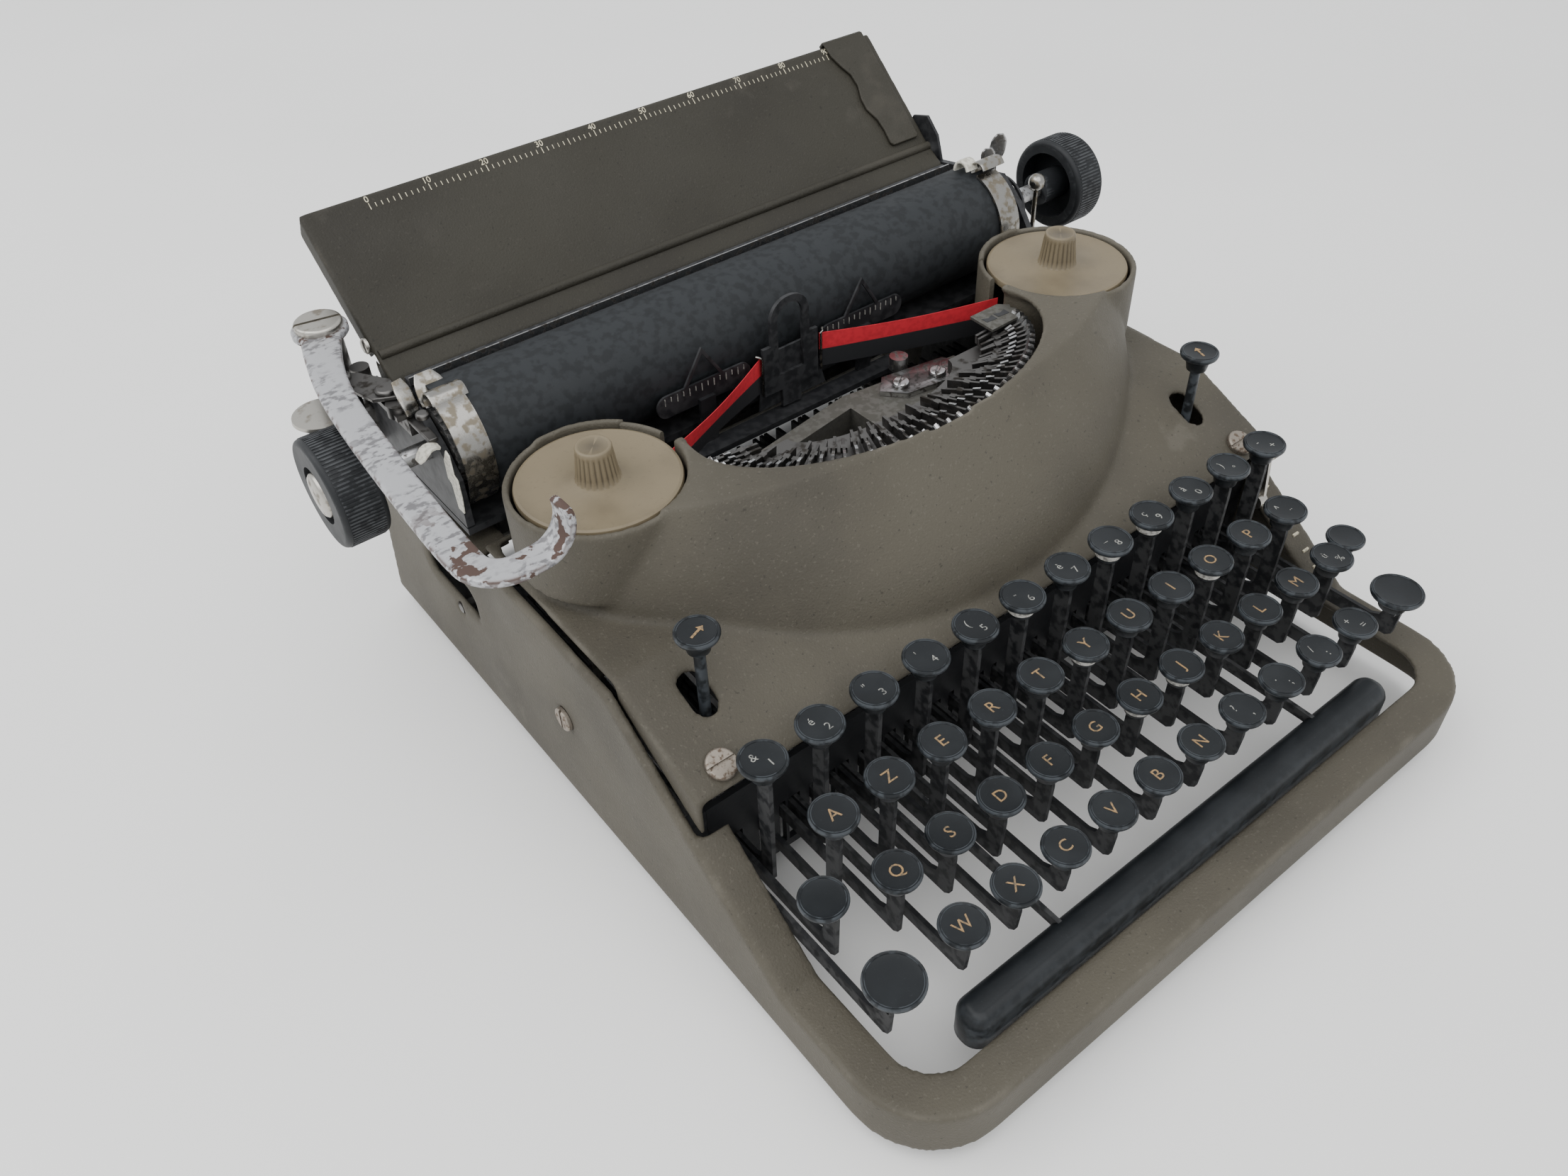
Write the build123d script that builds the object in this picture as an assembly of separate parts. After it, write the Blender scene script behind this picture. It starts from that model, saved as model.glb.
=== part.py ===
"""Portable desk typewriter, modelled as an assembly of separate pieces in millimetres.

Machine axes: X to the typist's right, Y to the back, Z up. While a piece is drawn, Y = 0 is the
front of the front rim and Z = 0 is the bottom edge of the casing. save() then moves every piece so
that the origin is on the table, under the middle of the machine.
"""
from build123d import *
from math import cos, hypot, radians, sin
import os

# Casing
HALF_WIDTH = 126.2
CASING_DEPTH = 297.0
CORNER_R = 27.0
WALL = 2.5
RIM_WIDTH = 12.5
RIM_HEIGHT = 18.0
SLOPE_FOOT = (54.0, RIM_HEIGHT)
SLOPE_TOP = (130.0, 75.0)
BACK_TOP = (284.0, 77.0)
BACK_BEND = (285.5, 50.0)
FOOT_DROP = 6.0
PORT_FRONT = 214.0
PORT_BACK = 250.0
PORT_LOW = 39.0
PORT_HIGH = 52.0
OVERALL_DEPTH = 304.8

# Top cover
PANEL_FRONT = (93.0, 60.3)
PANEL_BEND = (130.0, 77.4)
COVER_BACK = 203.5
COVER_HALF_WIDTH = 122.5
COVER_WALL = 2.2
CREST_Z = 109.0
BASKET_HALF_WIDTH = 67.0
BASKET_DEPTH = 36.0
BASKET_Y = 165.0
CUP_X = 94.7
CUP_Y = 174.3
CUP_R = 27.4
CUP_BORE_R = 25.4
CUP_FLOOR_Z = 84.0
PANEL_TILT = 24.8
SCREW_X = 110.6
SCREW_Y = 98.5
SCREW_Z = 63.0

# Keyboard: first key's X, the row's Y, the top of its keys, and how many keys
KEY_PITCH = 19.05
ROW_FRONT = (-84.6, 31.3, 42.3, 10)
ROW_HOME = (-90.1, 50.8, 49.4, 11)
ROW_TOP = (-97.8, 66.9, 63.4, 11)
ROW_DIGITS = (-105.8, 85.7, 73.9, 12)
KEY_R = 6.9
KEY_EDGE = 2.6
LEVER_THICK = 1.4
LEVER_TALL = 5.0
LEVER_Z = 22.0
FULCRUM_Y = 230.0
FULCRUM_Z = 35.0
FULCRUM_R = 2.0
RUN_FIT = 0.06
COMB_Y = 100.0
SHIFT_X = 109.0
SHIFT_Y = 30.6
SHIFT_TOP = 43.0
SHIFT_R = 8.4
SHIFT_LEVER_X = 111.9
LOCK_X = 107.9
SMALL_KEY_R = 6.4
SPACE_ARMS = (-55.9, 58.4)
BAR_LEFT = -95.5
BAR_RIGHT = 88.5

# Type basket
BAR_COUNT = 42
BAR_RING_A = 61.0
BAR_RING_B = 30.0

# Carriage
PLATEN_Y = 225.0
PLATEN_Z = 102.9
PLATEN_R = 19.0
PLATEN_LEFT = -118.5
PLATEN_RIGHT = 108.5
SHAFT_R = 3.0
KNOB_R = 17.0
KNOB_IN = 144.4
KNOB_OUT = 158.4
CAP_OUT = 159.6
END_LEFT = -124.0
END_RIGHT = 116.3
END_THICK = 2.5
BED_Z = 80.0
RAIL_FRONT_Y = 213.0
RAIL_BACK_Y = 262.0
TABLE_TOP = (300.3, 149.3)
TABLE_RIDGE = (263.5, 116.5)
TABLE_LAP = (255.0, 111.0)
TABLE_FOOT = (248.0, 100.0)
TABLE_LEFT = -120.0
TABLE_RIGHT = 116.0
LEVER_PIVOT = (-131.5, 272.0)
RETURN_LEVER_Z = 124.4
LEVER_GAUGE = 2.6
CURL_X = -133.0
CURL_R = 10.5

PRINT_X = -4.0


def save(node, *pieces):
    """Moves the pieces to the shared origin and writes them as one node."""
    placed = [Pos(0, -OVERALL_DEPTH / 2, FOOT_DROP) * piece for piece in pieces]
    shape = placed[0] if len(placed) == 1 else Compound(children=placed)
    export_step(shape, f"parts/{node}.step")


def block(x0, x1, y0, y1, z0, z1):
    """A box between two corners."""
    return Pos((x0 + x1) / 2, (y0 + y1) / 2, (z0 + z1) / 2) * Box(x1 - x0, y1 - y0, z1 - z0)


def upright(x, y, z0, z1, r):
    """A cylinder along Z."""
    return Pos(x, y, (z0 + z1) / 2) * Cylinder(r, z1 - z0)


def crosswise(y, z, x0, x1, r):
    """A cylinder along X."""
    return Pos((x0 + x1) / 2, y, z) * Rot(0, 90, 0) * Cylinder(r, x1 - x0)


def side_plate(points, x0, x1):
    """A flat piece drawn in the YZ plane and given its thickness from x0 to x1."""
    face = Plane.YZ.offset(x0) * make_face(Polyline(*points, close=True))
    return extrude(face, x1 - x0)


def plan_plate(points, z0, z1):
    """A flat piece drawn in the XY plane and given its thickness from z0 to z1."""
    return extrude(Pos(0, 0, z0) * make_face(Polyline(*points, close=True)), z1 - z0)


def cone(x, y, z0, z1, r0, r1):
    """A tapered round piece along Z, r0 at z0 and r1 at z1."""
    return Pos(x, y, (z0 + z1) / 2) * Cone(r0, r1, z1 - z0)


def slotted_screw(r, head, shank_r, shank, slot=1.0):
    """A round-headed screw with its head's underside at Z = 0 and its shank below."""
    head_piece = Pos(0, 0, head / 2) * Cylinder(r, head)
    head_piece = fillet(head_piece.edges().group_by(Axis.Z)[-1], head * 0.45)
    groove = Pos(0, 0, head) * Box(2.2 * r, slot, head)
    return head_piece - groove + Pos(0, 0, -shank / 2) * Cylinder(shank_r, shank)


def casing_outline(inset, back):
    """The casing seen from above, its two front corners rounded."""
    width = 2 * (HALF_WIDTH - inset)
    depth = back - inset
    sheet = Pos(0, inset + depth / 2) * Rectangle(width, depth)
    front = sheet.vertices().sort_by(Axis.Y)[:2]
    return fillet(front, CORNER_R - inset)


def casing_side(drop, floor):
    """The casing's side view, its walls and top brought in by drop."""
    points = [
        (0 + drop, floor),
        (CASING_DEPTH - drop, floor),
        (BACK_BEND[0] - drop, BACK_BEND[1]),
        (BACK_TOP[0] - drop, BACK_TOP[1] - drop),
        (SLOPE_TOP[0] + drop / 2, SLOPE_TOP[1] - drop),
        (SLOPE_FOOT[0] + drop / 2, SLOPE_FOOT[1] - drop),
        (0 + drop, RIM_HEIGHT - drop),
    ]
    return side_plate(points, -HALF_WIDTH, HALF_WIDTH)


def panel_side(lift, sink):
    """The keyboard panel and the flat deck behind it, seen from the side."""
    points = [
        (PANEL_FRONT[0], PANEL_FRONT[1] + lift),
        (PANEL_BEND[0], PANEL_BEND[1] + lift),
        (COVER_BACK, PANEL_BEND[1] + 1.0 + lift),
        (COVER_BACK, PANEL_BEND[1] + 1.0 - sink),
        (PANEL_BEND[0], PANEL_BEND[1] - sink),
        (PANEL_FRONT[0], PANEL_FRONT[1] - sink),
    ]
    return points


def make_casing():
    """The one-piece casing: two sides, the front rim, the back, and a flange round the top."""
    height = BACK_TOP[1] + 1
    shell = extrude(casing_outline(0, CASING_DEPTH), height) & casing_side(0, 0)
    hollow = extrude(Pos(0, 0, -1) * casing_outline(WALL, CASING_DEPTH - WALL), height)
    shell -= hollow & casing_side(WALL, -1)
    shell -= extrude(casing_outline(RIM_WIDTH, BACK_TOP[0] - RIM_WIDTH), height)
    reach = COVER_HALF_WIDTH + 0.2
    shell -= side_plate(panel_side(20, 22.4), -reach, reach)
    shell -= crosswise(159.3, 40.4, -HALF_WIDTH - 1, HALF_WIDTH + 1, 2.6)
    port = block(-HALF_WIDTH - 1, -HALF_WIDTH + WALL + 1, PORT_FRONT, PORT_BACK, PORT_LOW, PORT_HIGH)
    shell -= fillet(port.edges().filter_by(Axis.X), 5)
    shell -= crosswise(FULCRUM_Y, FULCRUM_Z, -HALF_WIDTH - 1, HALF_WIDTH + 1, 2.06)
    return shell


def make_feet():
    """Four rubber feet under the casing's corners."""
    feet = []
    for x in (-112.0, 112.0):
        for y0, y1 in ((109.0, 149.0), (255.0, 292.0)):
            pad = block(x - 7, x + 7, y0, y1, -FOOT_DROP, -0.1)
            feet.append(fillet(pad.edges().filter_by(Axis.Z), 4))
    return feet


def bulge(inset, top):
    """The rounded hump of the cover as a stack of ellipses, each smaller than the one below."""
    stack = [
        (56.0, 122.0, 96.0, 194.0),
        (80.0, 121.5, 82.0, 188.0),
        (98.0, 118.0, 63.0, 182.5),
        (top, 112.0, 49.0, 178.0),
    ]
    rings = [Pos(0, cy, z) * Ellipse(a - inset, b - inset) for z, a, b, cy in stack]
    return loft(rings, ruled=False)


def make_cover():
    """The top cover: sloped key panel, rounded hump, type basket opening and two spool cups."""
    hump = bulge(0, CREST_Z)
    hollow = bulge(COVER_WALL, CREST_Z - COVER_WALL)
    inside = side_plate(panel_side(80, 40), -COVER_HALF_WIDTH, COVER_HALF_WIDTH)
    above_panel = side_plate(panel_side(80, 0), -COVER_HALF_WIDTH, COVER_HALF_WIDTH)
    back_wall = block(-130, 130, COVER_BACK - COVER_WALL, COVER_BACK + 60, 40, 130)
    cover = (hump & above_panel) + side_plate(panel_side(0, 2), -COVER_HALF_WIDTH, COVER_HALF_WIDTH)
    cover -= (hollow & inside) - back_wall
    skirt_low = [(PANEL_FRONT[0], 47.0), (SLOPE_TOP[0], SLOPE_TOP[1] - 4.5)]
    for side in (-1, 1):
        edge = side * (COVER_HALF_WIDTH - 1)
        points = [PANEL_FRONT, PANEL_BEND, skirt_low[1], skirt_low[0]]
        cover += side_plate(points, edge - 1, edge + 1)
        cup = upright(side * CUP_X, CUP_Y, CUP_FLOOR_Z - 2, CREST_Z - 1, CUP_R)
        cover += cup
    rear = block(-130, 130, CUP_Y, COVER_BACK + 1, PANEL_BEND[1] + 1.2, CREST_Z + 5)
    for side in (-1, 1):
        rear -= upright(side * CUP_X, CUP_Y, 60, CREST_Z + 10, CUP_R)
    cover -= rear
    well = Pos(0, BASKET_Y, 60) * Ellipse(BASKET_HALF_WIDTH, BASKET_DEPTH)
    cover -= extrude(well, 60)
    cover -= block(-BASKET_HALF_WIDTH + 1, BASKET_HALF_WIDTH - 1, BASKET_Y, COVER_BACK + 1, 60, 120)
    for side in (-1, 1):
        cover -= upright(side * CUP_X, CUP_Y, CUP_FLOOR_Z, CREST_Z + 5, CUP_BORE_R)
        cover -= upright(side * CUP_X, CUP_Y, CUP_FLOOR_Z - 3, CUP_FLOOR_Z + 1, 2.06)
        cover -= block(side * 69 - 8, side * 69 + 8, 174, 192, CUP_FLOOR_Z + 2, CREST_Z + 5)
        slot = block(side * 104 - 3.3, side * 104 + 3.3, 111, 124, 50, 90)
        cover -= fillet(slot.edges().filter_by(Axis.Z), 2.8)
        cover -= Pos(side * SCREW_X, SCREW_Y, SCREW_Z) * Rot(PANEL_TILT, 0, 0) * Cylinder(2.3, 30)
    return cover


def make_cover_screws():
    """Two slotted screws that hold the key panel down."""
    screw = Rot(PANEL_TILT, 0, 0) * slotted_screw(4.6, 1.8, 2.0, 8.0)
    return [Pos(x, SCREW_Y, SCREW_Z) * screw for x in (-SCREW_X, SCREW_X)]


def make_side_screws():
    """Two screws through the casing's sides."""
    left = Pos(-HALF_WIDTH, 159.3, 40.4) * Rot(0, -90, 0) * slotted_screw(4.0, 1.6, 2.4, 8.0)
    right = Pos(HALF_WIDTH, 159.3, 40.4) * Rot(0, 90, 0) * slotted_screw(4.0, 1.6, 2.4, 8.0)
    return [left, right]


def lever_plate(x, y_key, tail=8.0):
    """A flat key lever from under its key back to the fulcrum rod, bored for the rod."""
    top = LEVER_Z + LEVER_TALL
    points = [
        (y_key - 3, LEVER_Z),
        (COMB_Y + 10, LEVER_Z),
        (FULCRUM_Y, FULCRUM_Z - 4),
        (FULCRUM_Y + tail, FULCRUM_Z - 4),
        (FULCRUM_Y + tail, FULCRUM_Z + 4),
        (FULCRUM_Y, FULCRUM_Z + 4),
        (COMB_Y + 10, top),
        (y_key - 3, top),
    ]
    plate = side_plate(points, x - LEVER_THICK / 2, x + LEVER_THICK / 2)
    return plate - crosswise(FULCRUM_Y, FULCRUM_Z, x - 2, x + 2, FULCRUM_R + RUN_FIT)


def key_cap(x, y, top, r):
    """A round key: dished top, thin edge, and a neck that narrows to the stem."""
    cap = Pos(x, y, top - KEY_EDGE / 2) * Cylinder(r, KEY_EDGE)
    cap = fillet(cap.edges(), KEY_EDGE * 0.4)
    dish = Pos(x, y, top + 39.4) * Sphere(40)
    neck = cone(x, y, top - KEY_EDGE - 6, top - KEY_EDGE + 0.5, 2.4, r * 0.62)
    return cap - dish + neck


def make_key(x, y, top, r=KEY_R, lever_x=None):
    """A whole key: cap, stem and lever in one piece."""
    lever_x = x if lever_x is None else lever_x
    stem_top = top - KEY_EDGE - 5
    half = LEVER_THICK / 2
    stem = block(lever_x - half, lever_x + half, y - 2.6, y + 2.6, LEVER_Z + 1, stem_top)
    foot = block(min(x, lever_x) - half, max(x, lever_x) + half, y - 2, y + 2, stem_top - 3, stem_top)
    return key_cap(x, y, top, r) + stem + foot + lever_plate(lever_x, y)


def row_keys(row):
    """The X of every key in a row, left to right."""
    first, y, top, count = row
    return [(first + i * KEY_PITCH, y, top) for i in range(count)]


def make_key_columns():
    """The character keys, joined in slanted columns of four."""
    rows = [row_keys(row) for row in (ROW_DIGITS, ROW_TOP, ROW_HOME, ROW_FRONT)]
    columns = [[row[i] for row in rows if i < len(row)] for i in range(11)]
    columns[-1].append(rows[0][11])
    return [[make_key(*key) for key in column] for column in columns]


def make_comb(lever_xs):
    """The comb that keeps the key levers apart, with a slot for each."""
    comb = block(-116, 116, COMB_Y, COMB_Y + 2, 6, 46)
    for x in lever_xs:
        comb -= block(x - 1.15, x + 1.15, COMB_Y - 1, COMB_Y + 3, 9, LEVER_Z + LEVER_TALL + 1.5)
    brackets = [block(s * 119.9 - 3.8, s * 119.9 + 3.8, COMB_Y, COMB_Y + 2, 20, 46) for s in (-1, 1)]
    return comb + brackets[0] + brackets[1]


def make_space_bar():
    """The long bar with chamfered edges on its two arms."""
    bar = block(BAR_LEFT, BAR_RIGHT, RIM_WIDTH + 0.5, 24.4, 13, 26)
    bar = fillet(bar.edges().filter_by(Axis.Z), 5)
    bar = chamfer(bar.edges().group_by(Axis.Z)[-1], 3)
    for x in SPACE_ARMS:
        bar += lever_plate(x, 27) + block(x - 0.7, x + 0.7, 21, 25, LEVER_Z, 25.5)
    return bar


def make_type_bars():
    """The type bars, laid like spokes round the basket, and the curved bed under them."""
    bars = []
    for i in range(BAR_COUNT):
        a = radians(180 + 180 * (i + 0.5) / BAR_COUNT)
        x, y = BAR_RING_A * cos(a), BASKET_Y + BAR_RING_B * sin(a)
        lean = Vector(x, (y - BASKET_Y) * 1.6, 0)
        heading = lean.get_angle(Vector(1, 0, 0))
        bar = Pos(x, y, 100) * Rot(0, 0, -heading) * Pos(-7, 0, 0) * Box(18, 1.1, 5)
        bars.append(bar)
    return bars


def make_type_bed():
    """The half-round bed that carries the type bars."""
    ring = Ellipse(BASKET_HALF_WIDTH - 1, BASKET_DEPTH - 1) - Ellipse(34, 12)
    bed = extrude(Pos(0, BASKET_Y, 92) * ring, 5) - block(-80, 80, BASKET_Y, 300, 80, 110)
    for x in (-60, 60):
        bed += block(x - 5, x + 5, BASKET_Y - 8, BASKET_Y - 1, 60, 93)
    return bed


def make_casting():
    """The cast bridge across the machine that carries the type bed and the ribbon lift."""
    beam = block(-123.5, 123.5, 158, 172, 50, 60)
    hub = plan_plate([(-46, 160), (-46, 176), (4, 184), (50, 178), (54, 160)], 60, 86)
    hub -= plan_plate([(-38, 160), (-38, 171), (2, 177), (2, 160)], 70, 90)
    return beam + hub


def make_centre_plate():
    """A bright plate with two slotted screws and two round rubber bumpers."""
    plate = plan_plate([(14, 176), (20, 182), (44, 178), (48, 170), (40, 166), (20, 169)], 86.1, 87.9)
    screw = Rot(0, 0, 35) * slotted_screw(3.0, 1.6, 1.2, 1.0)
    screws = [Pos(x, y, 87.9) * screw for x, y in ((22, 174.5), (36, 171.5))]
    stops = [upright(x, y, 86.1, 91, r) for x, y, r in ((30, 184.6, 3.2), (49.5, 164, 4.6))]
    return plate + screws[0] + screws[1], stops


def make_rails():
    """Two straight rails that the carriage runs on, tied by two cross bars."""
    front = block(-112, 112, RAIL_FRONT_Y, RAIL_FRONT_Y + 6, 71, 79.6)
    back = block(-112, 112, RAIL_BACK_Y, RAIL_BACK_Y + 6, 71, 79.6)
    ties = [block(x - 4, x + 4, RAIL_FRONT_Y, RAIL_BACK_Y + 6, 71, 75) for x in (-104, 104)]
    return front + back + ties[0] + ties[1]


def make_cards():
    """Two ruled card holders with round ends, each with an open wire pointer."""
    cards = []
    for x0, x1 in ((-56, -19), (11, 48)):
        plate = block(x0, x1, 203.3, 204.1, 93, 101)
        plate = fillet(plate.edges().filter_by(Axis.Y), 3.8)
        mid = (x0 + x1) / 2
        wire = Polyline((mid - 9, 99), (mid, 113), (mid + 9, 99), close=True)
        opening = Polyline((mid - 7, 100), (mid, 110.9), (mid + 7, 100), close=True)
        pointer = extrude(Plane.XZ.offset(-204.1) * make_face(wire), 0.8)
        pointer -= extrude(Plane.XZ.offset(-205) * make_face(opening), 3)
        post = block(mid - 3, mid + 3, 201.8, 203.3, 78, 95)
        cards.append(plate + pointer + post)
    tie = block(-50, 42, 196, 203.3, 76, 78)
    legs = block(-50, -46, 196, 200, 58, 76) + block(38, 42, 196, 200, 58, 76)
    beam = block(-123.5, 123.5, 196, 202, 54, 58)
    return cards[0] + cards[1] + tie + legs + beam


def make_ribbon():
    """The ribbon's two runs, from each spool cup to the ribbon guide."""
    runs = []
    for side in (-1, 1):
        start = (side * 70.0, 178.0)
        end = (PRINT_X + side * 12.6, 201.3)
        dx, dy = end[0] - start[0], end[1] - start[1]
        n = hypot(dx, dy)
        ox, oy = -dy / n * 0.15, dx / n * 0.15
        corners = [(start[0] + ox, start[1] + oy), (end[0] + ox, end[1] + oy)]
        corners += [(end[0] - ox, end[1] - oy), (start[0] - ox, start[1] - oy)]
        runs.append(plan_plate(corners, 88, 101))
    return runs


def make_ribbon_guide():
    """The ribbon guide: a tall arch on a forked plate."""
    x = PRINT_X
    body = block(x - 11.5, x + 11.5, 200.6, 201.9, 86, 104)
    arch = block(x - 8, x + 8, 200.6, 201.9, 100, 120)
    arch = fillet(arch.edges().filter_by(Axis.Y).sort_by(Axis.Z)[-2:], 7.5)
    gap = block(x - 5.2, x + 5.2, 199, 203, 92, 117.5)
    gap = fillet(gap.edges().filter_by(Axis.Y).sort_by(Axis.Z)[-2:], 5)
    stem = block(x - 4, x + 4, 200.6, 201.9, 79, 88)
    return body + arch - gap + stem


def make_spool(side):
    """A ribbon spool: flange, fluted centre knob, hub, lower flange and spindle."""
    spool = upright(0, 0, 104.6, 107.0, 24.5) + upright(0, 0, 85.2, 105, 8)
    spool += upright(0, 0, 85.2, 86.6, 24.3) + cone(0, 0, 107, 118.5, 6.6, 5.0)
    for i in range(24):
        spool -= Rot(0, 0, i * 15) * Pos(6.3, 0, 113) * Cylinder(0.35, 9)
    spool += upright(0, 0, 78, 86, 2.0)
    return Pos(side * CUP_X, CUP_Y, 0) * spool


def make_drum():
    """The spring drum that pulls the carriage, on an upright spindle."""
    drum = upright(-62, 240, 52, 66, 19) - upright(-62, 240, 62, 67, 15)
    return drum + upright(-62, 240, 46, 68, 2.5)


def make_escapement():
    """The toothed escapement wheel under the carriage."""
    z = 64.5
    wheel = Pos(24, 240, z) * Rot(90, 0, 0) * Cylinder(12.5, 2.4)
    for i in range(30):
        wheel -= Pos(24, 240, z) * Rot(0, i * 12, 0) * Pos(12.6, 0, 0) * Box(1.6, 4, 1.2)
    return wheel + Pos(24, 240, z) * Rot(90, 0, 0) * Cylinder(2.5, 12)


def make_rear_bracket():
    """A bracket that carries the spring drum and the escapement wheel."""
    beam = block(-123.5, 123.5, 276, 280.5, 48, 54)
    arm = block(-66, -58, 222, 277, 46, 48.5) - upright(-62, 240, 40, 60, 2.56)
    arm += block(-66, -58, 272, 277, 46, 52)
    post = block(20, 28, 247, 251, 48, 72)
    post -= Pos(24, 249, 64.5) * Rot(90, 0, 0) * Cylinder(2.56, 10)
    return beam + arm + post + block(20, 28, 247, 277, 48, 51)


def make_arrow_key(side):
    """A small key on a straight round stem that goes down through the panel."""
    x, y = side * 102.8, 116.2
    stem = upright(x, y, 56, 90, 1.7) + block(x - 3, x + 3, y - 3, y + 3, 54, 56)
    return key_cap(x, y, 95, SMALL_KEY_R) + stem


def make_touch_lever():
    """The small touch control lever at the right of the keyboard."""
    arm = side_plate([(84, 44), (88, 44), (90, 62), (86, 63)], 110.8, 112.2)
    arm += block(110.8, 119, 85.8, 90, 62, 63.4)
    return arm + crosswise(86, 46, 108.6, 112.2, 2.6)


def make_platen():
    """The rubber-covered roller, bored for its shaft."""
    return crosswise(PLATEN_Y, PLATEN_Z, PLATEN_LEFT, PLATEN_RIGHT, PLATEN_R) - crosswise(
        PLATEN_Y, PLATEN_Z, PLATEN_LEFT - 1, PLATEN_RIGHT + 1, SHAFT_R
    )


def make_knob(side):
    """A platen knob with fine ribs round its rim and a recess in its inner face."""
    x0, x1 = sorted((side * KNOB_IN, side * KNOB_OUT))
    knob = crosswise(PLATEN_Y, PLATEN_Z, x0, x1, KNOB_R)
    knob = fillet(knob.edges(), 1.6)
    inner = sorted((side * (KNOB_IN - 1), side * (KNOB_IN + 7)))
    knob -= crosswise(PLATEN_Y, PLATEN_Z, *inner, 12.5)
    outer = sorted((side * (KNOB_OUT - 1.6), side * (KNOB_OUT + 1)))
    knob -= crosswise(PLATEN_Y, PLATEN_Z, *outer, 9.0)
    hub = sorted((side * (KNOB_IN - 6), side * (KNOB_IN + 8)))
    knob += crosswise(PLATEN_Y, PLATEN_Z, *hub, 6.0)
    through = sorted((side * (KNOB_IN - 8), side * (KNOB_OUT + 2)))
    return knob - crosswise(PLATEN_Y, PLATEN_Z, *through, SHAFT_R)


def make_ratchet():
    """The toothed wheel that turns the platen line by line."""
    wheel = crosswise(PLATEN_Y, PLATEN_Z, -120.9, -118.6, 14.5)
    for i in range(32):
        tooth = Pos(-119.7, PLATEN_Y, PLATEN_Z) * Rot(i * 360 / 32, 0, 0) * Pos(0, 0, 14.6)
        wheel -= tooth * Box(4, 1.2, 1.6)
    return wheel - crosswise(PLATEN_Y, PLATEN_Z, -122, -118, SHAFT_R)


def make_band(x0, x1, low, high):
    """A bright spring band that lies round the end of the platen."""
    outer, inner = PLATEN_R + 1.2, PLATEN_R + 0.4
    ring = crosswise(PLATEN_Y, PLATEN_Z, x0, x1, outer)
    ring -= crosswise(PLATEN_Y, PLATEN_Z, x0 - 1, x1 + 1, inner)
    far = 40
    points = [(PLATEN_Y, PLATEN_Z)]
    for i in range(5):
        a = radians(low + (high - low) * i / 4)
        points.append((PLATEN_Y - far * cos(a), PLATEN_Z + far * sin(a)))
    return ring & side_plate(points, x0 - 1, x1 + 1)


def make_end_plate(x0, front_ear):
    """One of the carriage's two end plates."""
    back = [(208, 83), (275, 83), (275, 96), (262, 110)]
    points = back + [(236, 114), (224, 116), (front_ear, 108), (208, 100)]
    plate = side_plate(points, x0, x0 + END_THICK)
    return plate - crosswise(PLATEN_Y, PLATEN_Z, x0 - 1, x0 + END_THICK + 1, SHAFT_R + RUN_FIT)


def make_bed():
    """The carriage bed between the end plates, with its paper pan."""
    bed = block(END_LEFT, END_RIGHT + END_THICK, 208, 276, BED_Z, BED_Z + 2.4)
    bed -= block(END_LEFT + 14, END_RIGHT - 12, 222, 252, BED_Z - 1, BED_Z + 4)
    return bed


def make_paper_table():
    """The tilted paper table with its folded ends and rolled lower edge."""
    front = [TABLE_TOP, TABLE_RIDGE, TABLE_LAP, TABLE_FOOT]
    back = [(y + 1.3, z - 1.2) for y, z in reversed(front)]
    table = side_plate(front + back, TABLE_LEFT, TABLE_RIGHT)
    cheek = [TABLE_TOP, TABLE_RIDGE, (TABLE_RIDGE[0] + 6, 112), (TABLE_TOP[0] + 4.5, 141)]
    for x in (TABLE_LEFT, TABLE_RIGHT - 1.2):
        table += side_plate(cheek, x, x + 1.2)
        table += side_plate([(250, 84), (258, 84), (266, 113), (257, 111)], x, x + 1.2)
    return table


def make_paper_guide():
    """The sliding side guide that hooks over the paper table's top edge."""
    run = hypot(TABLE_TOP[0] - TABLE_RIDGE[0], TABLE_TOP[1] - TABLE_RIDGE[1])
    uy, uz = (TABLE_TOP[0] - TABLE_RIDGE[0]) / run, (TABLE_TOP[1] - TABLE_RIDGE[1]) / run
    ny, nz = -uz, uy

    def at(along, out):
        return (TABLE_TOP[0] - uy * along + ny * out, TABLE_TOP[1] - uz * along + nz * out)

    leaf = side_plate([at(-1.8, 0.4), at(46, 0.4), at(46, 1.4), at(-1.8, 1.4)], 93, 112.5)
    hook = side_plate([at(-1.8, 1.4), at(-0.6, 1.4), at(-0.6, -3.5), at(-1.8, -3.5)], 93, 112.5)
    return leaf + hook


def make_deflector():
    """The curved plate that leads the paper round under the platen."""
    return make_band(PLATEN_LEFT + 10, PLATEN_RIGHT - 10, 195, 245)


def make_feed_rollers():
    """Small rubber feed rollers on a rod below and behind the platen."""
    y, z = 243.5, 87.5
    rod = crosswise(y, z, END_LEFT + END_THICK, END_RIGHT, 1.6)
    for x in (-78, -28, 22, 72):
        rod += crosswise(y, z, x - 9, x + 9, 3.4)
    return rod


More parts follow.
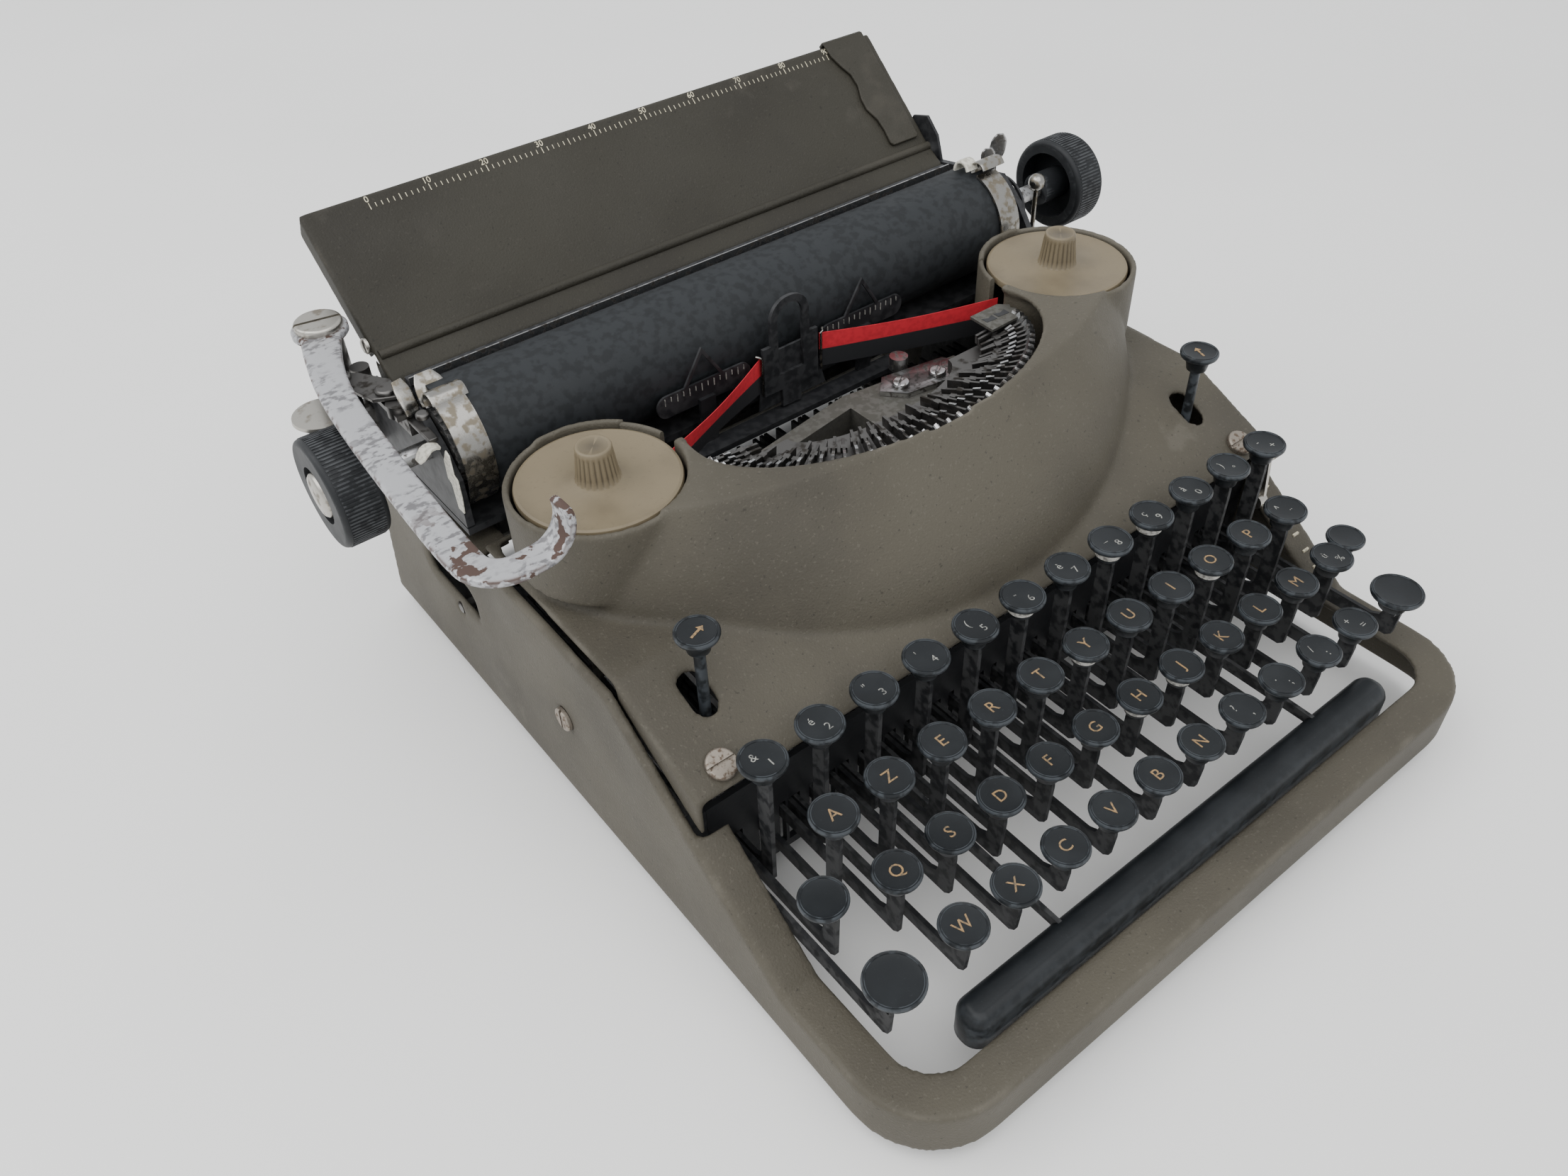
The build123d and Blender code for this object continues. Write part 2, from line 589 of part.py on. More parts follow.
def make_return_lever():
    """The long flat carriage return lever, turned inwards at its elbow and curled up at its tip."""
    px, py = LEVER_PIVOT
    z0, z1 = RETURN_LEVER_Z, RETURN_LEVER_Z + LEVER_GAUGE
    outer = [(px - 7, py), (-143.8, 258.5), (-148.3, 227), (-150.6, 203), (-152.3, 180), (-152.8, 150)]
    elbow = [(-151.6, 138), (-148, 132), (-142, 129.4), (CURL_X, 129.4)]
    inner = [(CURL_X, 138.6), (-138, 138.6), (-142, 141), (-143.4, 146), (-142.5, 172), (-140.5, 200)]
    heel = [(-138.7, 225), (-132.8, 257.5), (px + 7, py - 3)]
    arm = plan_plate(outer + elbow + inner + heel, z0, z1)
    boss = upright(px, py, z0, z1, 8.5)
    ring = Pos(CURL_X, 134, z0 + CURL_R) * Rot(90, 0, 0) * Cylinder(CURL_R, 9.2)
    ring -= Pos(CURL_X, 134, z0 + CURL_R) * Rot(90, 0, 0) * Cylinder(CURL_R - LEVER_GAUGE, 12)
    curl = ring & block(CURL_X, CURL_X + CURL_R, 129, 139, z0, z0 + CURL_R + 2)
    return arm + boss + curl - upright(px, py, z0 - 1, z1 + 1, 3.06)


def make_pivot_screw():
    """The broad slotted screw that the return lever turns on."""
    px, py = LEVER_PIVOT
    top = RETURN_LEVER_Z + LEVER_GAUGE + 0.1
    head = Pos(px, py, top) * Rot(0, 0, -12) * slotted_screw(7.4, 2.2, 3.0, 14.0, 1.2)
    return head


def make_lever_bracket():
    """The post at the carriage's left end that carries the return lever."""
    px, py = LEVER_PIVOT
    post = upright(px, py, 84, RETURN_LEVER_Z - 0.1, 6)
    post += block(px, END_LEFT, py - 5, py + 3, 84, 96)
    return post - upright(px, py, 100, RETURN_LEVER_Z + 1, 3.0)


def make_linkage():
    """The line-space link between the return lever and the ratchet."""
    arm = plan_plate([(-129.5, 228), (-125, 228), (-125, 262), (-129.5, 262)], 113.5, 115.3)
    arm += upright(-127.2, 232, 113.5, 117.6, 3.2) + upright(-127.2, 258, 113.5, 117.6, 3.0)
    arm += block(-126.4, -124.1, 228.5, 238, 107, 115.3)
    return arm


def make_release_lever():
    """The bright tab that frees the paper, at the carriage's right end."""
    points = [(229, 92), (234, 92), (238, 112), (236, 126), (229, 127), (231, 112)]
    lever = side_plate(points, 120.4, 122.0)
    return lever + block(120.4, 127.4, 229, 236.5, 124.5, 126.2) + crosswise(231.5, 94, 119.0, 122.0, 2.2)


def make_ball_lever():
    """The thin upright wire lever with a ball on its end."""
    x, y = 129.4, 217.0
    wire = upright(x, y, 88, 110, 0.9)
    return wire + Pos(x, y, 111.6) * Sphere(3.2) + crosswise(y, 88, 119.0, x + 1, 1.2)


def make_strip():
    """The thin bright strip along the back of the platen's top."""
    points = [(243.2, 114.2), (244.2, 113.6), (247.5, 118.4), (246.6, 119)]
    return side_plate(points, PLATEN_LEFT + 8, PLATEN_RIGHT - 8)


os.makedirs("parts", exist_ok=True)

save("base_frame", make_casing())
save("rubber_feet", *make_feet())
save("top_cover", make_cover())
save("casing_screws", *make_cover_screws(), *make_side_screws())

columns = make_key_columns()
for index, column in enumerate(columns, 1):
    save(f"key_column_{index:02d}", *column)
save("space_bar", make_space_bar())
save("shift_key_left", make_key(-SHIFT_X, SHIFT_Y, SHIFT_TOP, SHIFT_R, -SHIFT_LEVER_X))
save("shift_key_right", make_key(SHIFT_X, SHIFT_Y, SHIFT_TOP, SHIFT_R, SHIFT_LEVER_X))
save("shift_lock", make_key(-110.4, 56.2, 50, KEY_R, -LOCK_X))
save("backspace_key", make_key(116.4, 55.3, 46, SMALL_KEY_R, LOCK_X))

lever_xs = [key[0] for row in (ROW_DIGITS, ROW_TOP, ROW_HOME, ROW_FRONT) for key in row_keys(row)]
lever_xs += [-SHIFT_LEVER_X, -LOCK_X, LOCK_X, SHIFT_LEVER_X, *SPACE_ARMS]
save("key_comb", make_comb(lever_xs))
save("fulcrum_rod", crosswise(FULCRUM_Y, FULCRUM_Z, -HALF_WIDTH + 0.2, HALF_WIDTH - 0.2, FULCRUM_R))

save("type_bars", *make_type_bars())
save("type_bed", make_type_bed())
save("mechanism_casting", make_casting())
plate, stops = make_centre_plate()
save("centre_plate", plate, *stops)
save("card_holders", make_cards())
save("ribbon", *make_ribbon())
save("ribbon_guide", make_ribbon_guide())
save("ribbon_spool_left", make_spool(-1))
save("ribbon_spool_right", make_spool(1))
save("spring_drum", make_drum())
save("escapement_wheel", make_escapement())
save("rear_bracket", make_rear_bracket())
save("arrow_key_left", make_arrow_key(-1))
save("arrow_key_right", make_arrow_key(1))
save("touch_lever", make_touch_lever())

save("carriage_rails", make_rails())
save("carriage_bed", make_bed())
save("carriage_end_left", make_end_plate(END_LEFT, 214))
save("carriage_end_right", make_end_plate(END_RIGHT, 214))
save("platen", make_platen())
save("platen_shaft", crosswise(PLATEN_Y, PLATEN_Z, -KNOB_OUT + 2, KNOB_OUT - 2, SHAFT_R))
save("platen_knob_left", make_knob(-1))
save("platen_knob_right", make_knob(1))
caps = [crosswise(PLATEN_Y, PLATEN_Z, *sorted((s * (KNOB_OUT - 1.6), s * CAP_OUT)), 6.8) for s in (-1, 1)]
save("knob_caps", *[fillet(cap.edges(), 1.1) for cap in caps])
save("ratchet_wheel", make_ratchet())
save("platen_band_left", make_band(-122.0 + 0.8, -111.5, -60, 75))
save("platen_band_right", make_band(99.0, 108.2, -60, 75))
save("paper_table", make_paper_table())
save("paper_guide", make_paper_guide())
save("paper_strip", make_strip())
save("feed_rollers", make_feed_rollers())
save("deflector", make_deflector())
save("return_lever", make_return_lever())
save("lever_pivot_screw", make_pivot_screw())
save("lever_bracket", make_lever_bracket())
save("line_space_link", make_linkage())
save("paper_release_lever", make_release_lever())
save("ball_lever", make_ball_lever())
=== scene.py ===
"""Looks for a portable desk typewriter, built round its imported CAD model.

Lengths in the classes are machine millimetres: X to the typist's right, Y back from the front rim,
Z up from the casing's bottom edge. spot() turns them into the shared frame in metres.
"""
import logging
import math
from dataclasses import dataclass, field
from enum import Enum
from typing import Callable, Iterable, Sequence

import bmesh
import bpy
from mathutils import Matrix, Vector


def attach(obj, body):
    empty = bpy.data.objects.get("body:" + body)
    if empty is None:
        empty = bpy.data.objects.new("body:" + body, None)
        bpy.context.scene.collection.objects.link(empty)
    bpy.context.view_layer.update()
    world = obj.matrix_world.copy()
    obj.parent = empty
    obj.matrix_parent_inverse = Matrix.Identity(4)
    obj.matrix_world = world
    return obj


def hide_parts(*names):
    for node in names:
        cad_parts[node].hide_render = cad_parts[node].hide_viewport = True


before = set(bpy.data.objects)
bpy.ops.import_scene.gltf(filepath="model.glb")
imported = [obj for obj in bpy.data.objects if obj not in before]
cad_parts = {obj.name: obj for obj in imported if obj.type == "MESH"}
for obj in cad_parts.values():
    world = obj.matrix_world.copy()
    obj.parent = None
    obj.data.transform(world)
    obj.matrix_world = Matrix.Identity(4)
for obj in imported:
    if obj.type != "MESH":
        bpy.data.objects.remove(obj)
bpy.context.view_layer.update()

log = logging.getLogger("typewriter")

MM = 0.001
FRONT_TO_ORIGIN = -152.4
TABLE_TO_CASING = 6.0

Colour = tuple[float, float, float]
Point = tuple[float, float, float]
Flat = tuple[float, float]


def spot(x: float, y: float, z: float) -> Vector:
    """A point given in machine millimetres, in the shared frame in metres."""
    return Vector((x, y + FRONT_TO_ORIGIN, z + TABLE_TO_CASING)) * MM


# ---------------------------------------------------------------- finishes


class Graph:
    """One material's node graph, read from Object coordinates and built step by step."""

    def __init__(self, name: str, roughness: float, metallic: float = 0.0) -> None:
        """Start a material.

        Args:
            name: the finish's name.
            roughness: the shader's even roughness.
            metallic: 1 for bare metal, 0 for anything else.
        """
        self.material = bpy.data.materials.new(name)
        self.material.use_nodes = True
        self.nodes = self.material.node_tree.nodes
        self.links = self.material.node_tree.links
        self.shader = self.nodes["Principled BSDF"]
        self.shader.inputs["Roughness"].default_value = roughness
        self.shader.inputs["Metallic"].default_value = metallic
        self.place = self.nodes.new("ShaderNodeTexCoord").outputs["Object"]
        self.shape = self.nodes.new("ShaderNodeNewGeometry")

    def add(self, kind: str, values: dict | None = None, **settings) -> bpy.types.Node:
        """Add a node.

        Args:
            kind: the node's type.
            values: sockets or plain values, by input name or number.
            settings: the node's own properties.

        Returns:
            The new node.
        """
        node = self.nodes.new(kind)
        for key, value in settings.items():
            setattr(node, key, value)
        for key, value in (values or {}).items():
            if isinstance(value, bpy.types.NodeSocket):
                self.links.new(value, node.inputs[key])
            else:
                node.inputs[key].default_value = value
        return node

    def noise(self, scale: float, detail: float = 3.0, stretch: Point = (1, 1, 1)) -> bpy.types.NodeSocket:
        """Noise from 0 to 1.

        Args:
            scale: cells in a metre.
            detail: how many finer layers.
            stretch: how much finer the noise is along each axis.

        Returns:
            The noise value.
        """
        place = self.add("ShaderNodeMapping", {"Vector": self.place, "Scale": stretch}).outputs[0]
        made = self.add("ShaderNodeTexNoise", {"Vector": place, "Scale": scale, "Detail": detail})
        return made.outputs["Fac"]

    def step(
        self, value: bpy.types.NodeSocket, low: float, high: float, top: float = 1.0
    ) -> bpy.types.NodeSocket:
        """A smooth step.

        Args:
            value: what is measured.
            low: where the step starts, at 0.
            high: where it ends.
            top: the value it ends at.

        Returns:
            The stepped value.
        """
        values = {"Value": value, "From Min": low, "From Max": high, "To Max": top}
        return self.add("ShaderNodeMapRange", values, interpolation_type="SMOOTHSTEP").outputs["Result"]

    def times(self, a: bpy.types.NodeSocket, b: bpy.types.NodeSocket) -> bpy.types.NodeSocket:
        """The product of two values."""
        return self.add("ShaderNodeMath", {0: a, 1: b}, operation="MULTIPLY").outputs[0]

    def most(self, a: bpy.types.NodeSocket, b: bpy.types.NodeSocket) -> bpy.types.NodeSocket:
        """The larger of two values."""
        return self.add("ShaderNodeMath", {0: a, 1: b}, operation="MAXIMUM").outputs[0]

    def mix(self, share: bpy.types.NodeSocket, a, b) -> bpy.types.NodeSocket:
        """A colour between two others.

        Args:
            share: 0 for the first, 1 for the second.
            a: the first colour or socket.
            b: the second colour or socket.

        Returns:
            The mixed colour.
        """
        node = self.nodes.new("ShaderNodeMix")
        node.data_type = "RGBA"
        self.links.new(share, node.inputs[0])
        for slot, value in ((6, a), (7, b)):
            if isinstance(value, bpy.types.NodeSocket):
                self.links.new(value, node.inputs[slot])
            else:
                node.inputs[slot].default_value = (*value, 1.0)
        return node.outputs[2]

    def edges(self, low: float = 0.51, high: float = 0.56) -> bpy.types.NodeSocket:
        """1 on sharp outer edges and 0 elsewhere."""
        return self.step(self.shape.outputs["Pointiness"], low, high)

    def relief(self, height: bpy.types.NodeSocket, depth: float, strength: float = 1.0) -> None:
        """Bump the surface.

        Args:
            height: the height value.
            depth: the bump's depth in metres.
            strength: the bump's strength.
        """
        values = {"Height": height, "Distance": depth, "Strength": strength}
        last = self.shader.inputs["Normal"]
        if last.is_linked:
            values["Normal"] = last.links[0].from_socket
        self.links.new(self.add("ShaderNodeBump", values).outputs[0], last)

    def colour(self, value: bpy.types.NodeSocket) -> None:
        """Use this as the base colour."""
        self.links.new(value, self.shader.inputs["Base Color"])

    def gloss(self, value: bpy.types.NodeSocket, low: float, high: float) -> None:
        """Let the roughness run from low to high with a value."""
        made = self.add("ShaderNodeMapRange", {"Value": value, "To Min": low, "To Max": high})
        self.links.new(made.outputs["Result"], self.shader.inputs["Roughness"])


@dataclass(frozen=True)
class WrinklePaint:
    """Matte wrinkle enamel with grime in its hollows and rubbed edges."""

    name: str
    base: Colour
    grime: Colour
    rubbed: Colour
    grain: float = 1500.0
    depth: float = 0.00022

    def build(self) -> bpy.types.Material:
        """The paint as a material."""
        g = Graph(self.name, 0.62)
        g.shader.inputs["Specular IOR Level"].default_value = 0.3
        tone = g.mix(g.step(g.noise(14, 4), 0.35, 0.75), self.base, self.grime)
        patch = g.times(g.step(g.noise(55, 6), 0.56, 0.68), g.step(g.noise(9, 2), 0.45, 0.65))
        tone = g.mix(g.step(patch, 0.0, 1.0, 0.35), tone, self.rubbed)
        speck = g.step(g.noise(self.grain * 0.7, 2), 0.60, 0.72, 0.30)
        tone = g.mix(speck, tone, self.rubbed)
        pit = g.step(g.noise(self.grain * 0.5, 2), 0.66, 0.74, 0.5)
        tone = g.mix(pit, tone, tuple(0.4 * c for c in self.grime))
        hollow = g.step(g.shape.outputs["Pointiness"], 0.49, 0.44, 0.75)
        tone = g.mix(hollow, tone, tuple(0.35 * c for c in self.grime))
        worn = g.times(g.edges(0.51, 0.55), g.step(g.noise(60, 6), 0.40, 0.66))
        g.colour(g.mix(g.step(worn, 0.0, 1.0, 0.4), tone, self.rubbed))
        g.relief(g.noise(self.grain, 3), self.depth, 0.8)
        g.relief(g.noise(90, 3), 0.0004, 0.25)
        g.gloss(g.noise(40, 3), 0.5, 0.72)
        return g.material


@dataclass(frozen=True)
class PlatedMetal:
    """Bare or plated metal with tarnish in patches."""

    name: str
    bright: Colour
    tarnish: Colour
    roughness: float
    cover: float = 0.5
    patch: float = 220.0

    def build(self) -> bpy.types.Material:
        """The metal as a material."""
        g = Graph(self.name, self.roughness, 1.0)
        share = g.step(g.noise(self.patch, 5), self.cover, self.cover + 0.16)
        tone = g.mix(share, self.bright, self.tarnish)
        hollow = g.step(g.shape.outputs["Pointiness"], 0.49, 0.42, 0.8)
        g.colour(g.mix(hollow, tone, tuple(0.3 * c for c in self.tarnish)))
        g.gloss(share, self.roughness, min(0.75, self.roughness + 0.3))
        g.relief(g.noise(700, 3), 0.00006, 0.5)
        return g.material


@dataclass(frozen=True)
class DullBlack:
    """Black rubber, moulded plastic or japanned steel, with dust and handling marks."""

    name: str
    base: Colour
    dust: Colour
    roughness: float
    grain: float = 900.0
    depth: float = 0.00005
    worn: float = 0.25

    def build(self) -> bpy.types.Material:
        """The finish as a material."""
        g = Graph(self.name, self.roughness)
        g.shader.inputs["Specular IOR Level"].default_value = 0.3
        tone = g.mix(g.step(g.noise(70, 5), 0.38, 0.8, 0.45), self.base, self.dust)
        tone = g.mix(g.step(g.noise(1300, 2), 0.66, 0.74, 0.4), tone, self.dust)
        worn = g.times(g.edges(0.515, 0.57), g.step(g.noise(320, 4), 0.35, 0.6))
        g.colour(g.mix(g.step(worn, 0.0, 1.0, self.worn), tone, tuple(3.0 * c for c in self.dust)))
        g.relief(g.noise(self.grain, 3), self.depth, 0.6)
        g.gloss(g.noise(120, 4), self.roughness - 0.08, min(1.0, self.roughness + 0.16))
        return g.material


@dataclass(frozen=True)
class ChippedSilver:
    """Silver paint, mottled and chipped down to brown steel."""

    name: str = "chipped_silver_paint"
    silver: Colour = (0.40, 0.40, 0.41)
    mottle: Colour = (0.12, 0.115, 0.12)
    chip: Colour = (0.075, 0.045, 0.035)

    def build(self) -> bpy.types.Material:
        """The paint as a material."""
        g = Graph(self.name, 0.4, 0.35)
        cloud = g.times(
            g.step(g.noise(620, 5, (0.6, 1.0, 1.0)), 0.44, 0.64), g.step(g.noise(70, 3), 0.30, 0.55)
        )
        tone = g.mix(g.step(cloud, 0.0, 1.0, 0.85), self.silver, self.mottle)
        place = g.add("ShaderNodeSeparateXYZ", {0: g.place}).outputs["Y"]
        low_end = g.step(place, spot(0, 175, 0).y, spot(0, 150, 0).y)
        flake = g.step(g.noise(170, 6), 0.56, 0.585)
        rim = g.times(g.edges(0.505, 0.54), g.step(g.noise(260, 5), 0.50, 0.56))
        chip = g.most(g.times(flake, low_end), rim)
        g.colour(g.mix(chip, tone, self.chip))
        g.gloss(chip, 0.38, 0.7)
        g.relief(chip, 0.0001, -0.6)
        g.relief(g.noise(900, 3), 0.00008, 0.5)
        return g.material


@dataclass(frozen=True)
class TwoColourInk:
    """Inked ribbon cloth: one colour above a line and black below it."""

    name: str = "inked_ribbon"
    upper: Colour = (0.62, 0.02, 0.035)
    lower: Colour = (0.012, 0.012, 0.014)
    line: float = 94.6

    def build(self) -> bpy.types.Material:
        """The ribbon as a material."""
        g = Graph(self.name, 0.75)
        height = g.add("ShaderNodeSeparateXYZ", {0: g.place}).outputs["Z"]
        edge = spot(0, 0, self.line).z
        red = g.mix(g.step(g.noise(500, 3), 0.35, 0.7, 0.35), self.upper, tuple(0.45 * c for c in self.upper))
        g.colour(g.mix(g.step(height, edge - 0.0002, edge + 0.0002), self.lower, red))
        g.relief(g.noise(4200, 1), 0.00006, 0.7)
        return g.material


@dataclass(frozen=True)
class PrintedMark:
    """Printed or filled lettering and scale marks, part rubbed away."""

    name: str
    ink: Colour
    faded: Colour

    def build(self) -> bpy.types.Material:
        """The ink as a material."""
        g = Graph(self.name, 0.6)
        g.colour(g.mix(g.step(g.noise(900, 3), 0.42, 0.68), self.ink, self.faded))
        g.relief(g.noise(2000, 2), 0.00003, 0.4)
        return g.material


@dataclass(frozen=True)
class TanMoulding:
    """Khaki moulded disc with a soft bloom of dirt."""

    name: str = "tan_moulding"
    base: Colour = (0.165, 0.132, 0.080)
    dirt: Colour = (0.11, 0.086, 0.052)

    def build(self) -> bpy.types.Material:
        """The moulding as a material."""
        g = Graph(self.name, 0.5)
        tone = g.mix(g.step(g.noise(45, 5), 0.42, 0.72, 0.8), self.base, self.dirt)
        tone = g.mix(g.step(g.noise(900, 3), 0.62, 0.7, 0.35), tone, self.dirt)
        hollow = g.step(g.shape.outputs["Pointiness"], 0.49, 0.44, 0.8)
        g.colour(g.mix(hollow, tone, tuple(0.4 * c for c in self.dirt)))
        g.relief(g.noise(1500, 2), 0.00004, 0.5)
        g.gloss(g.noise(80, 4), 0.42, 0.6)
        return g.material


class Finish(Enum):
    """Every finish on the machine, by the record's material slot where it has one."""

    CASING = WrinklePaint(
        "casing_wrinkle", (0.080, 0.071, 0.053), (0.050, 0.044, 0.033), (0.135, 0.122, 0.098)
    )
    TABLE = WrinklePaint(
        "table_wrinkle", (0.032, 0.029, 0.021), (0.022, 0.0195, 0.0145), (0.056, 0.050, 0.039)
    )
    FEET = DullBlack("foot_rubber", (0.02, 0.019, 0.018), (0.06, 0.055, 0.05), 0.8)
    RUSTY_SCREW = PlatedMetal("rusty_screw", (0.30, 0.265, 0.225), (0.17, 0.13, 0.10), 0.55, 0.5, 700.0)
    NICKEL_SCREW = PlatedMetal("nickel_screw", (0.44, 0.42, 0.38), (0.24, 0.215, 0.18), 0.34, 0.52)
    BRIGHT_STEEL = PlatedMetal("worn_bright_steel", (0.46, 0.46, 0.46), (0.14, 0.13, 0.12), 0.3, 0.47, 500.0)
    DARK_STEEL = PlatedMetal("oiled_dark_steel", (0.13, 0.125, 0.12), (0.05, 0.045, 0.04), 0.42, 0.5)
    BLACK_STEEL = DullBlack("japanned_steel", (0.012, 0.0125, 0.014), (0.026, 0.026, 0.027), 0.45, worn=0.25)
    CAST = PlatedMetal("cast_iron", (0.17, 0.165, 0.15), (0.13, 0.125, 0.11), 0.6, 0.42, 420.0)
    NICKEL = PlatedMetal("nickel_plate", (0.30, 0.29, 0.27), (0.20, 0.175, 0.135), 0.24, 0.46, 380.0)
    PLATEN = DullBlack("aged_platen_rubber", (0.0105, 0.012, 0.0135), (0.0135, 0.015, 0.0165), 0.6, 600.0)
    KNOB = DullBlack("ribbed_knob_plastic", (0.010, 0.011, 0.0125), (0.036, 0.038, 0.04), 0.5, worn=0.35)
    KEY = DullBlack(
        "dished_key_plastic", (0.007, 0.0085, 0.010), (0.022, 0.025, 0.028), 0.36, 1200.0, 0.00003, 0.6
    )
    KEY_LEVER = DullBlack("key_lever", (0.010, 0.0105, 0.012), (0.03, 0.03, 0.03), 0.5, worn=0.4)
    SILVER = ChippedSilver()
    INK = TwoColourInk()
    GOLD_LEGEND = PrintedMark("gold_legend", (0.30, 0.185, 0.08), (0.11, 0.085, 0.055))
    PALE_LEGEND = PrintedMark("pale_legend", (0.27, 0.27, 0.245), (0.09, 0.09, 0.085))
    SCALE_MARK = PrintedMark("scale_mark", (0.62, 0.57, 0.42), (0.4, 0.36, 0.26))
    RESIDUE = PrintedMark("chalky_residue", (0.62, 0.6, 0.55), (0.25, 0.24, 0.22))
    CREAM = PrintedMark("cream_enamel", (0.62, 0.6, 0.52), (0.4, 0.38, 0.32))
    TAN = TanMoulding()

    def material(self) -> bpy.types.Material:
        """This finish's material, built once."""
        found = bpy.data.materials.get(self.value.name)
        return found or self.value.build()


# ---------------------------------------------------------------- mesh building


class View(Enum):
    """The plane that an outline is drawn in; the third number goes across it."""

    PLAN = "plan"
    SIDE = "side"
    FRONT = "front"

    def place(self, u: float, v: float, w: float) -> Point:
        """Turn a drawn point into a place on the machine.

        Args:
            u: its first coordinate in the plane.
            v: its second coordinate.
            w: its depth across the plane.

        Returns:
            The point in machine millimetres.
        """
        if self is View.PLAN:
            return (u, v, w)
        if self is View.SIDE:
            return (w, u, v)
        return (u, w, v)


class Solid:
    """Closed shapes gathered into one piece."""

    def __init__(self) -> None:
        """Start empty."""
        self.points: list[Point] = []
        self.faces: list[tuple[int, ...]] = []

    def loft(self, rings: Sequence[Sequence[Point]], closed: bool = False) -> "Solid":
        """Skin a row of rings.

        Args:
            rings: rings of the same number of points.
            closed: whether the last ring joins the first; otherwise both ends are capped.

        Returns:
            This solid.
        """
        start, count = len(self.points), len(rings[0])
        for ring in rings:
            self.points.extend(tuple(p) for p in ring)
        spans = len(rings) if closed else len(rings) - 1
        for i in range(spans):
            a, b = start + i * count, start + (i + 1) % len(rings) * count
            for k in range(count):
                n = (k + 1) % count
                self.faces.append((a + k, a + n, b + n, b + k))
        if not closed:
            self.faces.append(tuple(start + k for k in range(count)))
            last = start + (len(rings) - 1) * count
            self.faces.append(tuple(last + k for k in range(count)))
        return self

    def prism(self, outline: Sequence[Flat], low: float, high: float, view: View = View.PLAN) -> "Solid":
        """A flat plate.

        Args:
            outline: its corners in the view's plane.
            low: where it starts across the plane.
            high: where it ends.
            view: the plane.

        Returns:
            This solid.
        """
        return self.loft([[view.place(u, v, w) for u, v in outline] for w in (low, high)])

    def box(self, low: Point, high: Point) -> "Solid":
        """A block between two corners."""
        (x0, y0, z0), (x1, y1, z1) = low, high
        return self.prism([(x0, y0), (x1, y0), (x1, y1), (x0, y1)], z0, z1)

    def lathe(
        self, profile: Sequence[Flat], centre: Flat, view: View = View.PLAN, sides: int = 48
    ) -> "Solid":
        """Turn a profile round an axis that runs across the view's plane.

        Args:
            profile: (radius, place along the axis) pairs from end to end.
            centre: the axis in the view's plane.
            view: the plane.
            sides: how many sides the circle has.

        Returns:
            This solid.
        """
        rings = []
        for radius, along in profile:
            turns = [2 * math.pi * k / sides for k in range(sides)]
            rings.append(
                [
                    view.place(centre[0] + radius * math.cos(t), centre[1] + radius * math.sin(t), along)
                    for t in turns
                ]
            )
        return self.loft(rings)

    def ring(self, profile: Sequence[Flat], centre: Flat, view: View = View.PLAN, sides: int = 48) -> "Solid":
        """Turn a closed profile round an axis, leaving its middle open.

        Args:
            profile: (radius, place along the axis) pairs round the section.
            centre: the axis in the view's plane.
            view: the plane.
            sides: how many sides the circle has.

        Returns:
            This solid.
        """
        rings = []
        for k in range(sides):
            t = 2 * math.pi * k / sides
            rings.append(
                [view.place(centre[0] + r * math.cos(t), centre[1] + r * math.sin(t), w) for r, w in profile]
            )
        return self.loft(rings, closed=True)

    def strip(
        self, path: Sequence[Point], sides: Sequence[Vector], wide: Sequence[float], thick: float
    ) -> "Solid":
        """A flat bar with rounded edges along a path.

        Args:
            path: its centre line.
            sides: the direction of its width at each point.
            wide: its width at each point.
            thick: its thickness.

        Returns:
            This solid.
        """
        rings = []
        line = [Vector(p) for p in path]
        for i, here in enumerate(line):
            ahead = (line[min(i + 1, len(line) - 1)] - line[max(i - 1, 0)]).normalized()
            side = sides[i].normalized()
            up = side.cross(ahead).normalized()
            half, deep, ring = wide[i] / 2, thick / 2, []
            for k in range(16):
                t = 2 * math.pi * (k + 0.5) / 16
                u = math.copysign(abs(math.cos(t)) ** 0.35, math.cos(t))
                v = math.copysign(abs(math.sin(t)) ** 0.55, math.sin(t))
                ring.append(tuple(here + side * half * u + up * deep * v))
            rings.append(ring)
        return self.loft(rings)

    def tube(self, path: Sequence[Point], radius: float, sides: int = 10) -> "Solid":
        """A round wire along a path.

        Args:
            path: its centre line.
            radius: its radius.
            sides: how many sides it has.

        Returns:
            This solid.
        """
        line, rings = [Vector(p) for p in path], []
        guide = Vector((0.13, 0.31, 0.94))
        for i, here in enumerate(line):
            ahead = (line[min(i + 1, len(line) - 1)] - line[max(i - 1, 0)]).normalized()
            a = ahead.cross(guide).normalized()
            b = ahead.cross(a)
            turns = [2 * math.pi * k / sides for k in range(sides)]
            rings.append([tuple(here + (a * math.cos(t) + b * math.sin(t)) * radius) for t in turns])
        return self.loft(rings)

    def build(self, name: str, finish: Finish, bevel: float = 0.0, sharp: float = 35.0) -> bpy.types.Object:
        """Make the gathered shapes one object.

        Args:
            name: the piece's name.
            finish: its finish.
            bevel: the rounding of its edges in millimetres.
            sharp: the angle in degrees past which an edge stays sharp.

        Returns:
            The object, at the origin.
        """
        mesh = bpy.data.meshes.new(name)
        mesh.from_pydata([spot(*p) for p in self.points], [], self.faces)
        return finish_mesh(name, mesh, finish, bevel, sharp)


